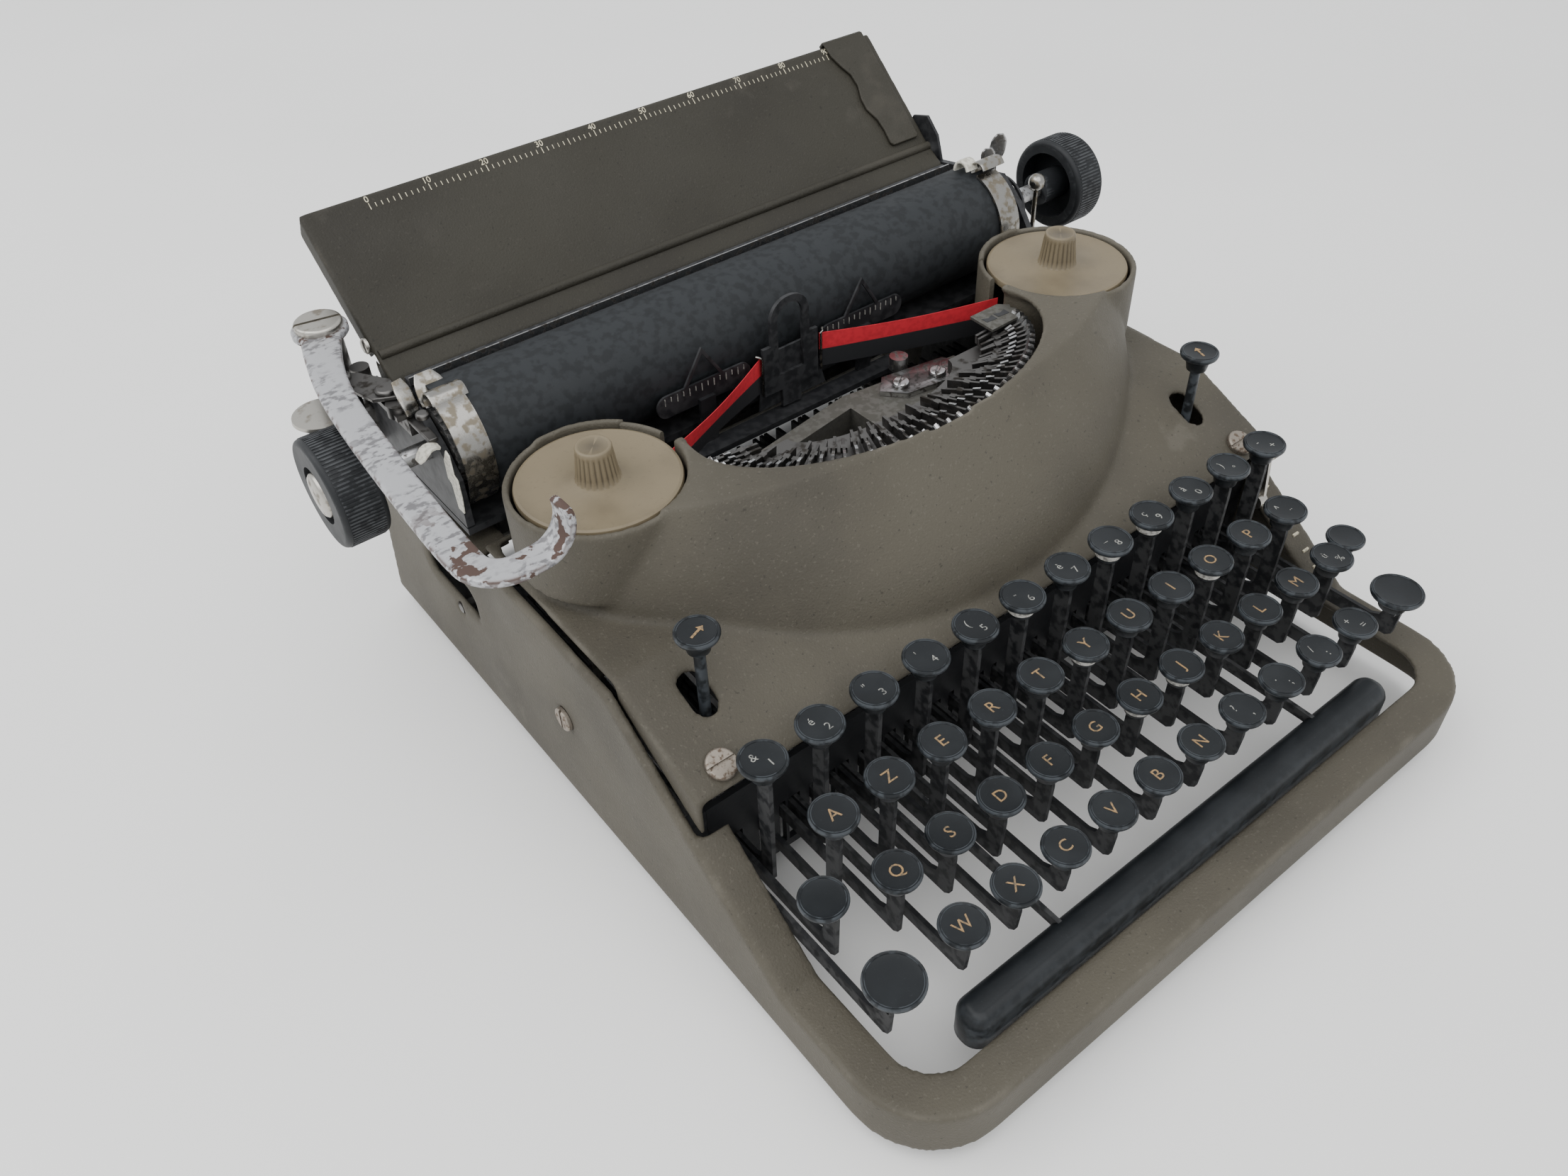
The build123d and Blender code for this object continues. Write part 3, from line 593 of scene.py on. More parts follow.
def finish_mesh(
    name: str, mesh: bpy.types.Mesh, finish: Finish, bevel: float, sharp: float
) -> bpy.types.Object:
    """Clean a mesh, turn its faces outwards and give it its finish.

    Args:
        name: the piece's name.
        mesh: the mesh, in the shared frame.
        finish: its finish.
        bevel: the rounding of its edges in millimetres.
        sharp: the angle in degrees past which an edge stays sharp.

    Returns:
        The object.
    """
    work = bmesh.new()
    work.from_mesh(mesh)
    bmesh.ops.remove_doubles(work, verts=work.verts, dist=0.000002)
    bmesh.ops.dissolve_degenerate(work, edges=work.edges, dist=0.000001)
    bmesh.ops.recalc_face_normals(work, faces=work.faces)
    work.to_mesh(mesh)
    work.free()
    mesh.polygons.foreach_set("use_smooth", [True] * len(mesh.polygons))
    mesh.set_sharp_from_angle(angle=math.radians(sharp))
    mesh.materials.clear()
    mesh.materials.append(finish.material())
    piece = bpy.data.objects.new(name, mesh)
    bpy.context.scene.collection.objects.link(piece)
    if bevel:
        rounding = piece.modifiers.new("rounded_edges", "BEVEL")
        rounding.width = bevel * MM
        rounding.segments = 2
        rounding.limit_method = "ANGLE"
        rounding.angle_limit = math.radians(40)
    return piece


def mount(piece: bpy.types.Object, body: str, slot: str, *nodes: str) -> bpy.types.Object:
    """Put a piece on its body.

    Args:
        piece: the finished piece.
        body: the CAD body it rides on.
        slot: the record's material slot; not used.
        nodes: the CAD nodes it stands for.

    Returns:
        The piece.
    """
    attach(piece, body)
    if nodes:
        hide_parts(*nodes)
    log.info("%s on %s: %d faces", piece.name, body, len(piece.data.polygons))
    return piece


def soften(node: str, name: str, finish: Finish, cell: float, rounds: int) -> bpy.types.Object:
    """A copy of a CAD node with every edge rounded over, as pressed and painted metal is.

    Args:
        node: the CAD node.
        name: the new piece's name.
        finish: its finish.
        cell: the rebuilding grid in millimetres.
        rounds: how often it is smoothed.

    Returns:
        The new piece.
    """
    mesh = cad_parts[node].data.copy()
    work = bmesh.new()
    work.from_mesh(mesh)
    bmesh.ops.remove_doubles(work, verts=work.verts, dist=0.000002)
    work.to_mesh(mesh)
    work.free()
    rough = bpy.data.objects.new(name + "_rough", mesh)
    bpy.context.scene.collection.objects.link(rough)
    grid = rough.modifiers.new("grid", "REMESH")
    grid.mode = "VOXEL"
    grid.voxel_size = cell * MM
    ease = rough.modifiers.new("ease", "SMOOTH")
    ease.factor = 0.5
    ease.iterations = rounds
    bpy.context.view_layer.update()
    graph = bpy.context.evaluated_depsgraph_get()
    made = bpy.data.meshes.new_from_object(rough.evaluated_get(graph))
    bpy.data.objects.remove(rough)
    made.name = name
    return finish_mesh(name, made, finish, 0.0, 80.0)


def dress(finish: Finish, *nodes: str) -> None:
    """Give CAD nodes that stay in view their finish.

    Args:
        finish: the finish.
        nodes: the nodes' names.
    """
    for node in nodes:
        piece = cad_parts[node]
        if not piece.material_slots:
            piece.data.materials.append(finish.material())
        for place in piece.material_slots:
            place.material = finish.material()
    log.info("dressed %d CAD nodes in %s", len(nodes), finish.value.name)


def letters(rows: Iterable[tuple[str, float, Callable[[float, float], Point]]]) -> Solid:
    """Raised lettering as closed meshes.

    Args:
        rows: each text, its height in millimetres, and where its flat points go.

    Returns:
        The letters as one solid.
    """
    made, lot = Solid(), []
    for text, size, where in rows:
        curve = bpy.data.curves.new("lettering", "FONT")
        curve.body = text
        curve.size = size
        curve.align_x = "CENTER"
        curve.align_y = "CENTER"
        curve.extrude = 0.04
        curve.resolution_u = 3
        piece = bpy.data.objects.new("lettering", curve)
        bpy.context.scene.collection.objects.link(piece)
        lot.append((piece, where))
    bpy.context.view_layer.update()
    graph = bpy.context.evaluated_depsgraph_get()
    for piece, where in lot:
        mesh = bpy.data.meshes.new_from_object(piece.evaluated_get(graph))
        start = len(made.points)
        for vertex in mesh.vertices:
            x, y, z = where(vertex.co.x, vertex.co.y)
            made.points.append((x, y, z + vertex.co.z))
        made.faces.extend(tuple(start + i for i in face.vertices) for face in mesh.polygons)
        bpy.data.meshes.remove(mesh)
        curve = piece.data
        bpy.data.objects.remove(piece)
        bpy.data.curves.remove(curve)
    return made


# ---------------------------------------------------------------- repeated shapes


class Rule:
    """A Geometry Nodes tree with named sizes, ending in Realize Instances and Set Material."""

    def __init__(self, name: str) -> None:
        """Start a tree that takes points in and gives a mesh out.

        Args:
            name: the tree's name.
        """
        self.tree = bpy.data.node_groups.new(name, "GeometryNodeTree")
        self.keys: dict[str, str] = {}
        face = self.tree.interface
        face.new_socket("Geometry", in_out="OUTPUT", socket_type="NodeSocketGeometry")
        face.new_socket("Points", in_out="INPUT", socket_type="NodeSocketGeometry")
        self.start = self.tree.nodes.new("NodeGroupInput")
        self.end = self.tree.nodes.new("NodeGroupOutput")

    def size(self, label: str, kind: str = "Float") -> bpy.types.NodeSocket:
        """Add a named input.

        Args:
            label: its name.
            kind: Float, Int, Vector or Material.

        Returns:
            The socket inside the tree.
        """
        made = self.tree.interface.new_socket(label, in_out="INPUT", socket_type=f"NodeSocket{kind}")
        self.keys[label] = made.identifier
        return self.start.outputs[label]

    def add(self, kind: str, values: dict | None = None, **settings) -> bpy.types.Node:
        """Add a node.

        Args:
            kind: the node's type.
            values: sockets or plain values, by input name or number.
            settings: the node's own properties.

        Returns:
            The new node.
        """
        node = self.tree.nodes.new(kind)
        for key, value in settings.items():
            setattr(node, key, value)
        for key, value in (values or {}).items():
            if isinstance(value, bpy.types.NodeSocket):
                self.tree.links.new(value, node.inputs[key])
            else:
                node.inputs[key].default_value = value
        return node

    def join(self, *shapes: bpy.types.NodeSocket) -> bpy.types.NodeSocket:
        """Join shapes into one."""
        node = self.tree.nodes.new("GeometryNodeJoinGeometry")
        for shape in reversed(shapes):
            self.tree.links.new(shape, node.inputs[0])
        return node.outputs[0]

    def block(self, size, at: Point = (0, 0, 0), turn: Point = (0, 0, 0)) -> bpy.types.NodeSocket:
        """A block of a size, moved and turned.

        Args:
            size: its size, as a value or a socket.
            at: where its middle goes.
            turn: its turn in radians.

        Returns:
            The block.
        """
        cube = self.add("GeometryNodeMeshCube", {"Size": size}).outputs[0]
        moved = self.add("GeometryNodeTransform", {"Geometry": cube, "Translation": at, "Rotation": turn})
        return moved.outputs[0]

    def close(self, shape: bpy.types.NodeSocket) -> "Rule":
        """End the tree: make the copies real and give them the material.

        Args:
            shape: the copies.

        Returns:
            This rule.
        """
        real = self.add("GeometryNodeRealizeInstances", {0: shape}).outputs[0]
        painted = self.add(
            "GeometryNodeSetMaterial", {"Geometry": real, "Material": self.size("Material", "Material")}
        )
        self.tree.links.new(painted.outputs[0], self.end.inputs[0])
        return self

    def grow(
        self, name: str, finish: Finish, sizes: dict, points: Sequence[Point] = (),
        heading: Sequence[float] = ()
    ):
        """Run the tree once and keep its mesh.

        Args:
            name: the piece's name.
            finish: its finish.
            sizes: the named inputs' values, in metres where they are lengths.
            points: machine-millimetre points to grow on.
            heading: each point's turn about Z in radians.

        Returns:
            The grown piece as a plain mesh object.
        """
        mesh = bpy.data.meshes.new(name + "_points")
        mesh.from_pydata([spot(*p) for p in points], [], [])
        if heading:
            kept = mesh.attributes.new("heading", "FLOAT", "POINT")
            kept.data.foreach_set("value", list(heading))
        seed = bpy.data.objects.new(name + "_seed", mesh)
        bpy.context.scene.collection.objects.link(seed)
        modifier = seed.modifiers.new("rule", "NODES")
        modifier.node_group = self.tree
        for label, value in {**sizes, "Material": finish.material()}.items():
            modifier[self.keys[label]] = value
        bpy.context.view_layer.update()
        graph = bpy.context.evaluated_depsgraph_get()
        made = bpy.data.meshes.new_from_object(seed.evaluated_get(graph))
        bpy.data.objects.remove(seed)
        made.name = name
        return finish_mesh(name, made, finish, 0.0, 35.0)


def ring_rule() -> Rule:
    """Blocks set round a circle: knob ribs and flutes."""
    rule = Rule("blocks_round_a_circle")
    count, radius = rule.size("Count", "Int"), rule.size("Radius")
    size, centre, turn = rule.size("Size", "Vector"), rule.size(
        "Centre", "Vector"
    ), rule.size("Turn", "Vector")
    circle = rule.add("GeometryNodeMeshCircle", {"Vertices": count, "Radius": radius}).outputs[0]
    index = rule.add("GeometryNodeInputIndex").outputs[0]
    part = rule.add("ShaderNodeMath", {0: index, 1: count}, operation="DIVIDE").outputs[0]
    angle = rule.add("ShaderNodeMath", {0: part, 1: 2 * math.pi}, operation="MULTIPLY").outputs[0]
    around = rule.add("ShaderNodeCombineXYZ", {"Z": angle}).outputs[0]
    block = rule.add("GeometryNodeMeshCube", {"Size": size}).outputs[0]
    values = {"Points": circle, "Instance": block, "Rotation": around}
    copies = rule.add("GeometryNodeInstanceOnPoints", values).outputs[0]
    values = {"Geometry": copies, "Translation": centre, "Rotation": turn}
    return rule.close(rule.add("GeometryNodeTransform", values).outputs[0])


def row_rule() -> Rule:
    """Marks in a straight row, every so many of them longer: scales and ticks."""
    rule = Rule("marks_in_a_row")
    count, start = rule.size("Count", "Int"), rule.size("Start", "Vector")
    step, size = rule.size("Step", "Vector"), rule.size("Size", "Vector")
    every, long_size = rule.size("Long Every", "Int"), rule.size("Long Size", "Vector")
    turn = rule.size("Turn", "Vector")
    line = rule.add(
        "GeometryNodeMeshLine", {"Count": count, "Start Location": start, "Offset": step}
    ).outputs[0]
    index = rule.add("GeometryNodeInputIndex").outputs[0]
    left = rule.add("ShaderNodeMath", {0: index, 1: every}, operation="MODULO").outputs[0]
    is_long = rule.add("ShaderNodeMath", {0: left, 1: 0.5}, operation="LESS_THAN").outputs[0]
    is_short = rule.add("ShaderNodeMath", {0: left, 1: 0.5}, operation="GREATER_THAN").outputs[0]
    shapes = []
    for chosen, extent in ((is_short, size), (is_long, long_size)):
        cube = rule.add("GeometryNodeMeshCube", {"Size": extent}).outputs[0]
        values = {"Points": line, "Selection": chosen, "Instance": cube, "Rotation": turn}
        shapes.append(rule.add("GeometryNodeInstanceOnPoints", values).outputs[0])
    return rule.close(rule.join(*shapes))


def rim_rule() -> Rule:
    """A thin raised ring on each point: key rims and rivet collars."""
    rule = Rule("rings_on_points")
    radius, wire = rule.size("Radius"), rule.size("Wire")
    circle = rule.add("GeometryNodeCurvePrimitiveCircle", {"Resolution": 36, "Radius": radius}).outputs[0]
    section = rule.add("GeometryNodeCurvePrimitiveCircle", {"Resolution": 6, "Radius": wire}).outputs[0]
    hoop = rule.add("GeometryNodeCurveToMesh", {"Curve": circle, "Profile Curve": section}).outputs[0]
    values = {"Points": rule.start.outputs["Points"], "Instance": hoop}
    return rule.close(rule.add("GeometryNodeInstanceOnPoints", values).outputs[0])


class BarPart(Enum):
    """The two halves of a type bar: the dark arm, and the bright tooth at its outer end."""

    ARM = "type_bar_arms"
    TOOTH = "type_bar_teeth"


def type_bar_rule(part: BarPart) -> Rule:
    """One half of a type bar on each point, turned by the point's heading.

    Args:
        part: which half to draw.

    Returns:
        The tree, with the bar's length and thickness as named sizes.
    """
    rule = Rule(part.value)
    length, thick = rule.size("Length"), rule.size("Thickness")
    if part is BarPart.ARM:
        bar_size = rule.add("ShaderNodeCombineXYZ", {"X": length, "Y": thick, "Z": 3.2 * MM}).outputs[0]
        arm = rule.block(bar_size, (-8.5 * MM, 0, -2.2 * MM), (0, math.radians(-9), 0))
        knuckle = rule.block((2.0 * MM, 2.0 * MM, 2.0 * MM), (-11.0 * MM, 0, -1.9 * MM))
        shape = rule.join(arm, knuckle)
    else:
        wide = rule.add("ShaderNodeMath", {0: thick, 1: 2.1}, operation="MULTIPLY").outputs[0]
        slug_size = rule.add("ShaderNodeCombineXYZ", {"X": 2.4 * MM, "Y": wide, "Z": 4.4 * MM}).outputs[0]
        slug = rule.block(slug_size, (0.1 * MM, 0, -0.6 * MM), (0, math.radians(24), 0))
        gable_size = rule.add("ShaderNodeCombineXYZ", {"X": 2.2 * MM, "Y": thick, "Z": thick}).outputs[0]
        gable = rule.block(gable_size, (0.9 * MM, 0, 1.7 * MM), (math.radians(45), math.radians(24), 0))
        bit_size = rule.add("ShaderNodeCombineXYZ", {"X": 2.6 * MM, "Y": thick, "Z": 0.9 * MM}).outputs[0]
        bit = rule.block(bit_size, (-5.6 * MM, 0, 0.1 * MM), (0, math.radians(-14), 0))
        shape = rule.join(slug, gable, bit)
    heading = rule.add("GeometryNodeInputNamedAttribute", {"Name": "heading"}, data_type="FLOAT").outputs[0]
    values = {2: -0.09, 3: 0.09, "Seed": 7}
    sway = rule.add("FunctionNodeRandomValue", values, data_type="FLOAT").outputs[1]
    turn = rule.add("ShaderNodeCombineXYZ", {"Y": sway, "Z": heading}).outputs[0]
    values = {"Points": rule.start.outputs["Points"], "Instance": shape, "Rotation": turn}
    return rule.close(rule.add("GeometryNodeInstanceOnPoints", values).outputs[0])


@dataclass
class Rules:
    """The repeat trees, each built once."""

    ring: Rule = field(default_factory=ring_rule)
    row: Rule = field(default_factory=row_rule)
    rim: Rule = field(default_factory=rim_rule)
    arm: Rule = field(default_factory=lambda: type_bar_rule(BarPart.ARM))
    tooth: Rule = field(default_factory=lambda: type_bar_rule(BarPart.TOOTH))


# ---------------------------------------------------------------- sub-assemblies


@dataclass
class Studio:
    """The camera, the pale floor and the soft light."""

    eye: Point = (-222.0144, -83.6575, 320.7302)
    right: Point = (0.78449262, -0.61925116, -0.03315615)
    down: Point = (-0.43797999, -0.51541371, -0.73656108)
    lens: float = 28.515
    floor_half: float = 6.0

    def camera(self) -> None:
        """Stand the camera where the machine is seen from."""
        data = bpy.data.cameras.new("view")
        data.sensor_width = 36.0
        data.sensor_fit = "HORIZONTAL"
        data.lens = self.lens
        data.clip_start = 0.01
        data.clip_end = 50.0
        eye = bpy.data.objects.new("view", data)
        x_axis, y_axis = Vector(self.right), -Vector(self.down)
        turn = Matrix((x_axis, y_axis, x_axis.cross(y_axis))).transposed().to_4x4()
        eye.matrix_world = Matrix.Translation(spot(*self.eye)) @ turn
        bpy.context.scene.collection.objects.link(eye)
        bpy.context.scene.camera = eye

    def floor(self) -> None:
        """Lay the pale floor."""
        s = self.floor_half
        mesh = bpy.data.meshes.new("floor")
        mesh.from_pydata([(-s, -s, 0), (s, -s, 0), (s, s, 0), (-s, s, 0)], [], [(0, 1, 2, 3)])
        g = Graph("pale_floor", 0.55)
        g.colour(g.mix(g.step(g.noise(2.5, 4), 0.3, 0.8), (0.90, 0.893, 0.875), (0.84, 0.832, 0.815)))
        mesh.materials.append(g.material)
        floor = bpy.data.objects.new("floor", mesh)
        bpy.context.scene.collection.objects.link(floor)

    def light(self) -> None:
        """Hang a broad lamp at the back left, a larger and stronger one high in front, and a pale sky."""
        for name, place, power, size in (
            ("window", (-1.1, 0.6, 1.5), 20.0, 1.6),
            ("ceiling", (-0.3, -0.9, 1.9), 27.0, 2.2),
        ):
            data = bpy.data.lights.new(name, "AREA")
            data.energy = power
            data.size = size
            lamp = bpy.data.objects.new(name, data)
            lamp.location = place
            lamp.rotation_euler = (-Vector(place)).to_track_quat("-Z", "Y").to_euler()
            bpy.context.scene.collection.objects.link(lamp)
        world = bpy.data.worlds.new("sky")
        world.use_nodes = True
        sky = world.node_tree.nodes["Background"]
        sky.inputs["Color"].default_value = (0.86, 0.88, 0.90, 1.0)
        sky.inputs["Strength"].default_value = 1.2
        bpy.context.scene.world = world


@dataclass
class Casing:
    """The one-piece casing, the top cover, the feet and their screws."""

    grid: float = 1.05

    def build(self) -> None:
        """Make the painted shells and dress the feet and screws."""
        shell = soften("base_frame", "casing_shell", Finish.CASING, self.grid + 0.2, 4)
        mount(shell, "frame", "casing_paint", "base_frame")
        cover = soften("top_cover", "cover_shell", Finish.CASING, self.grid, 6)
        mount(cover, "frame", "casing_paint", "top_cover")
        walls = Solid()
        for side in (-1, 1):
            rings = []
            for k in range(15):
                t = math.radians(13 + 2.2 * k)
                rings.append([
                    (side * (-94.7 + radius * math.cos(t)), 174.3 + radius * math.sin(t), z)
                    for radius, z in (
                        (25.5, 86), (25.5, 106.9), (25.9, 107.6), (26.4, 107.9), (27.0, 107.6),
                        (27.3, 106.9), (27.3, 86)
                    )
                ])
            walls.loft(rings)
        mount(walls.build("cup_back_walls", Finish.CASING, sharp=60), "frame", "casing_paint")
        plates = Solid()
        for side in (-1, 1):
            low_x, high_x = sorted((side * 118.6, side * 119.4))
            plates.box((low_x, 150, 4), (high_x, 264, 66))
        mount(plates.build("inner_plates", Finish.BLACK_STEEL), "frame", "black_steel")
        dress(Finish.FEET, "rubber_feet")
        dress(Finish.RUSTY_SCREW, "casing_screws")

    def touch_scale(self) -> None:
        """The white marks beside the touch lever on the right rail."""
        marks = Solid()
        for i in range(6):
            y = 63 + i * 5.2
            z = 18 + (y - 54) * 57 / 76
            marks.prism([(118.5, y), (121.4, y), (121.4, y + 0.8), (118.5, y + 0.8)], z - 1.0, z + 0.75)
        mount(marks.build("touch_scale_marks", Finish.SCALE_MARK), "frame", "casing_paint")


@dataclass
class KeyShape:
    """The sizes of one round key and its lever."""

    x: float
    y: float
    top: float
    radius: float = 6.9
    lever_x: float | None = None
    texts: tuple[str, ...] = ()

    def dish(self, u: float, v: float) -> float:
        """The height of the dished top at (u, v) from the key's middle."""
        return self.top - 0.65 + (u * u + v * v) / 82 if math.hypot(u, v) < self.radius else self.top

    def cap(self, solid: Solid) -> None:
        """Add the dished cap with its rolled edge and the neck under it.

        Args:
            solid: what it is added to.
        """
        r = self.radius
        profile = [(0.001, self.top - 0.65), (r * 0.35, self.top - 0.58), (r * 0.7, self.top - 0.36)]
        profile += [(r - 0.75, self.top - 0.12), (r - 0.35, self.top), (r - 0.05, self.top - 0.35)]
        profile += [(r, self.top - 0.95), (r - 0.25, self.top - 1.7), (r - 0.9, self.top - 2.3)]
        profile += [(r * 0.64, self.top - 2.75), (r * 0.60, self.top - 4.2), (r * 0.52, self.top - 6.8)]
        profile += [(r * 0.30, self.top - 7.8), (0.001, self.top - 8.0)]
        solid.lathe(profile, (self.x, self.y), sides=40)

    def lever(self, solid: Solid) -> None:
        """Add the flat lever, turned up in a goose neck, back to the fulcrum rod.

        Args:
            solid: what it is added to.
        """
        x = self.x if self.lever_x is None else self.lever_x
        low, y, tip = 22.0, self.y, self.top - 7.0
        outline = [(y - 2.6, tip), (y - 2.8, tip - 3.5), (y - 2.2, 23.6), (y - 0.4, low)]
        outline += [(110, low), (230, 31), (238, 31), (238, 39), (230, 39), (110, 27), (y + 6.5, 27)]
        outline += [(y + 3.6, 28.4), (y + 2.8, 31.0), (y + 2.6, tip)]
        solid.prism(outline, x - 0.7, x + 0.7, View.SIDE)
        if x != self.x:
            low_x, high_x = sorted((x, self.x))
            solid.box((low_x - 0.7, y - 2.2, tip - 3), (high_x + 0.7, y + 2.2, tip))

    def legends(self) -> list[tuple[str, float, Callable[[float, float], Point]]]:
        """The key's characters: one large, or two small ones, the upper at the back."""
        places = ((0.0, 0.1, 5.4),) if len(self.texts) == 1 else ((-1.6, 1.9, 3.7), (1.3, -2.1, 3.7))
        rows = []
        for text, (du, dv, size) in zip(self.texts, places):
            def where(u: float, v: float, du: float = du, dv: float = dv) -> Point:
                """A flat letter's point laid on the dish."""
                return (self.x + u + du, self.y + v + dv, self.dish(u + du, v + dv) + 0.015)
            rows.append((text, size, where))
        return rows


@dataclass
class Keyboard:
    """Forty-four character keys in four rows, the shift and side keys, and the space bar."""

    pitch: float = 19.05
    rows: tuple = ((-105.8, 85.7, 73.9), (-97.8, 66.9, 63.4), (-90.1, 50.8, 49.4), (-84.6, 31.3, 42.3))
    digits: tuple = ("&1", "é2", "\"3", "'4", "(5", "-6", "è7", "_8", "ç9", "à0", ")°", "-+")
    top_row: tuple = ("A", "Z", "E", "R", "T", "Y", "U", "I", "O", "P", "^¨")
    home_row: tuple = ("Q", "S", "D", "F", "G", "H", "J", "K", "L", "M", "ù%")
    front_row: tuple = ("W", "X", "C", "V", "B", "N", "?,", ".;", "/:", "+=")
    bar: tuple = (-95.5, 88.5, 13.0, 24.4)
    bar_corner: float = 5.2
    bar_arms: tuple = (-55.9, 58.4)
    chalky: tuple = ("6", "8", "9", "Y", "J", "H", "O")

    def columns(self) -> list[list[KeyShape]]:
        """The character keys of each slanted column, back to front."""
        texts = (self.digits, self.top_row, self.home_row, self.front_row)
        columns: list[list[KeyShape]] = [[] for _ in range(11)]
        for (x, y, top), row in zip(self.rows, texts):
            for i, text in enumerate(row):
                columns[min(i, 10)].append(KeyShape(x + i * self.pitch, y, top, texts=tuple(text)))
        return columns

    def build(self, rules: Rules) -> None:
        """Make every key with its rim, its legend and its lever.

        Args:
            rules: the repeat trees.
        """
        for number, keys in enumerate(self.columns(), 1):
            body = f"key_column_{number:02d}"
            self.one_body(rules, body, keys)
        self.one_body(rules, "shift_key_left", [KeyShape(-109.0, 30.6, 43.0, 8.4, -111.9)])
        self.one_body(rules, "shift_key_right", [KeyShape(109.0, 30.6, 43.0, 8.4, 111.9)])
        self.one_body(rules, "shift_lock", [KeyShape(-110.4, 56.2, 50.0, 6.9, -107.9)])
        self.one_body(rules, "backspace_key", [KeyShape(116.4, 55.3, 46.0, 6.4, 107.9)])
        self.space_bar()
        self.arrow_keys(rules)
        dress(Finish.BLACK_STEEL, "key_comb")
        dress(Finish.DARK_STEEL, "fulcrum_rod")

    def one_body(self, rules: Rules, body: str, keys: list[KeyShape]) -> None:
        """Build the pieces that ride on one key body.

        Args:
            rules: the repeat trees.
            body: the CAD body, which has one node of the same name.
            keys: the keys on it.
        """
        caps, levers = Solid(), Solid()
        for key in keys:
            key.cap(caps)
            key.lever(levers)
        mount(caps.build(f"{body}_caps", Finish.KEY, sharp=50), body, "key_plastic", body)
        mount(levers.build(f"{body}_levers", Finish.KEY_LEVER), body, "key_plastic")
        sizes = {"Radius": (keys[0].radius - 0.95) * MM, "Wire": 0.16 * MM}
        rims = rules.rim.grow(f"{body}_rims", Finish.KEY, sizes, [(k.x, k.y, k.top - 0.12) for k in keys])
        mount(rims, body, "key_plastic")
        single = [row for key in keys if len(key.texts) == 1 for row in key.legends()]
        double = [row for key in keys if len(key.texts) == 2 for row in key.legends()]
        if single:
            mount(letters(single).build(f"{body}_letters", Finish.GOLD_LEGEND), body, "key_plastic")
        if double:
            mount(letters(double).build(f"{body}_figures", Finish.PALE_LEGEND), body, "key_plastic")
        chalk = [k for k in keys if k.texts and k.texts[-1] in self.chalky]
        if chalk:
            bands = Solid()
            for key in chalk:
                r = key.radius * 0.63 + 0.12
                ring = [
                    (r, key.top - 3.1), (r - 0.5, key.top - 5.6), (r - 1.2, key.top - 5.6),
                    (r - 1.2, key.top - 3.1)
                ]
                bands.ring(ring, (key.x, key.y))
            mount(bands.build(f"{body}_residue", Finish.RESIDUE), body, "key_plastic")

    def space_bar(self) -> None:
        """The long bar with rounded ends and eased top edges, on its two arms."""
        bar, rings = Solid(), []
        for inset, z in (
            (0.4, 13.0), (0.0, 13.6), (0.0, 22.2), (0.5, 23.6), (1.5, 25.0), (2.6, 25.7), (3.6, 26.0)
        ):
            rings.append(self.bar_outline(inset, z))
        bar.loft(rings)
        mount(bar.build("space_bar_body", Finish.KEY, sharp=60), "space_bar", "key_plastic", "space_bar")
        arms = Solid()
        for x in self.bar_arms:
            outline = [(20, 22), (110, 22), (230, 31), (238, 31), (238, 39), (230, 39), (110, 27), (20, 25.4)]
            arms.prism(outline, x - 0.7, x + 0.7, View.SIDE)
        mount(arms.build("space_bar_arms", Finish.KEY_LEVER), "space_bar", "key_plastic")

    def bar_outline(self, inset: float, z: float) -> list[Point]:
        """The space bar's outline at one height.

        Args:
            inset: how far it is brought in all round.
            z: the height.

        Returns:
            The outline's points.
        """
        ring, radius = [], self.bar_corner
        x0, x1, y0, y1 = self.bar
        corners = ((x1, y0, -90), (x1, y1, 0), (x0, y1, 90), (x0, y0, 180))
        for cx, cy, start in corners:
            px = cx - math.copysign(radius, cx)
            py = cy + (radius if cy == y0 else -radius)
            for k in range(9):
                t = math.radians(start + k * 90 / 8)
                reach = radius - inset
                ring.append((px + reach * math.cos(t), py + reach * math.sin(t), z))
        return ring

    def arrow_keys(self, rules: Rules) -> None:
        """The two small keys that stand through the panel, each with an arrow.

        Args:
            rules: the repeat trees.
        """
        for side, name in ((-1, "left"), (1, "right")):
            body = f"arrow_key_{name}"
            key = KeyShape(side * 102.8, 116.2, 95.0, 6.4)
            caps = Solid()
            key.cap(caps)
            caps.lathe([(0.001, 56), (1.7, 56), (1.7, 90), (0.001, 90)], (key.x, key.y), sides=20)
            mount(caps.build(f"{body}_cap", Finish.KEY, sharp=50), body, "key_plastic", body)
            rims = rules.rim.grow(
                f"{body}_rim", Finish.KEY, {"Radius": 5.45 * MM, "Wire": 0.16 * MM}, [(key.x, key.y, 94.88)]
            )
            mount(rims, body, "key_plastic")
            arrow = Solid()
            shaft = [
                (-2.6, -0.35), (1.2, -0.35), (1.2, -1.3), (2.8, 0), (1.2, 1.3), (1.2, 0.35), (-2.6, 0.35)
            ]
            turn = math.radians(20 if side < 0 else 70)
            outline = [
                (
                    key.x + u * math.cos(turn) - v * math.sin(turn),
                    key.y + u * math.sin(turn) + v * math.cos(turn)
                )
                for u, v in shaft
            ]
            arrow.prism(outline, key.top - 0.75, key.top - 0.5)
            mount(arrow.build(f"{body}_arrow", Finish.GOLD_LEGEND), body, "key_plastic")


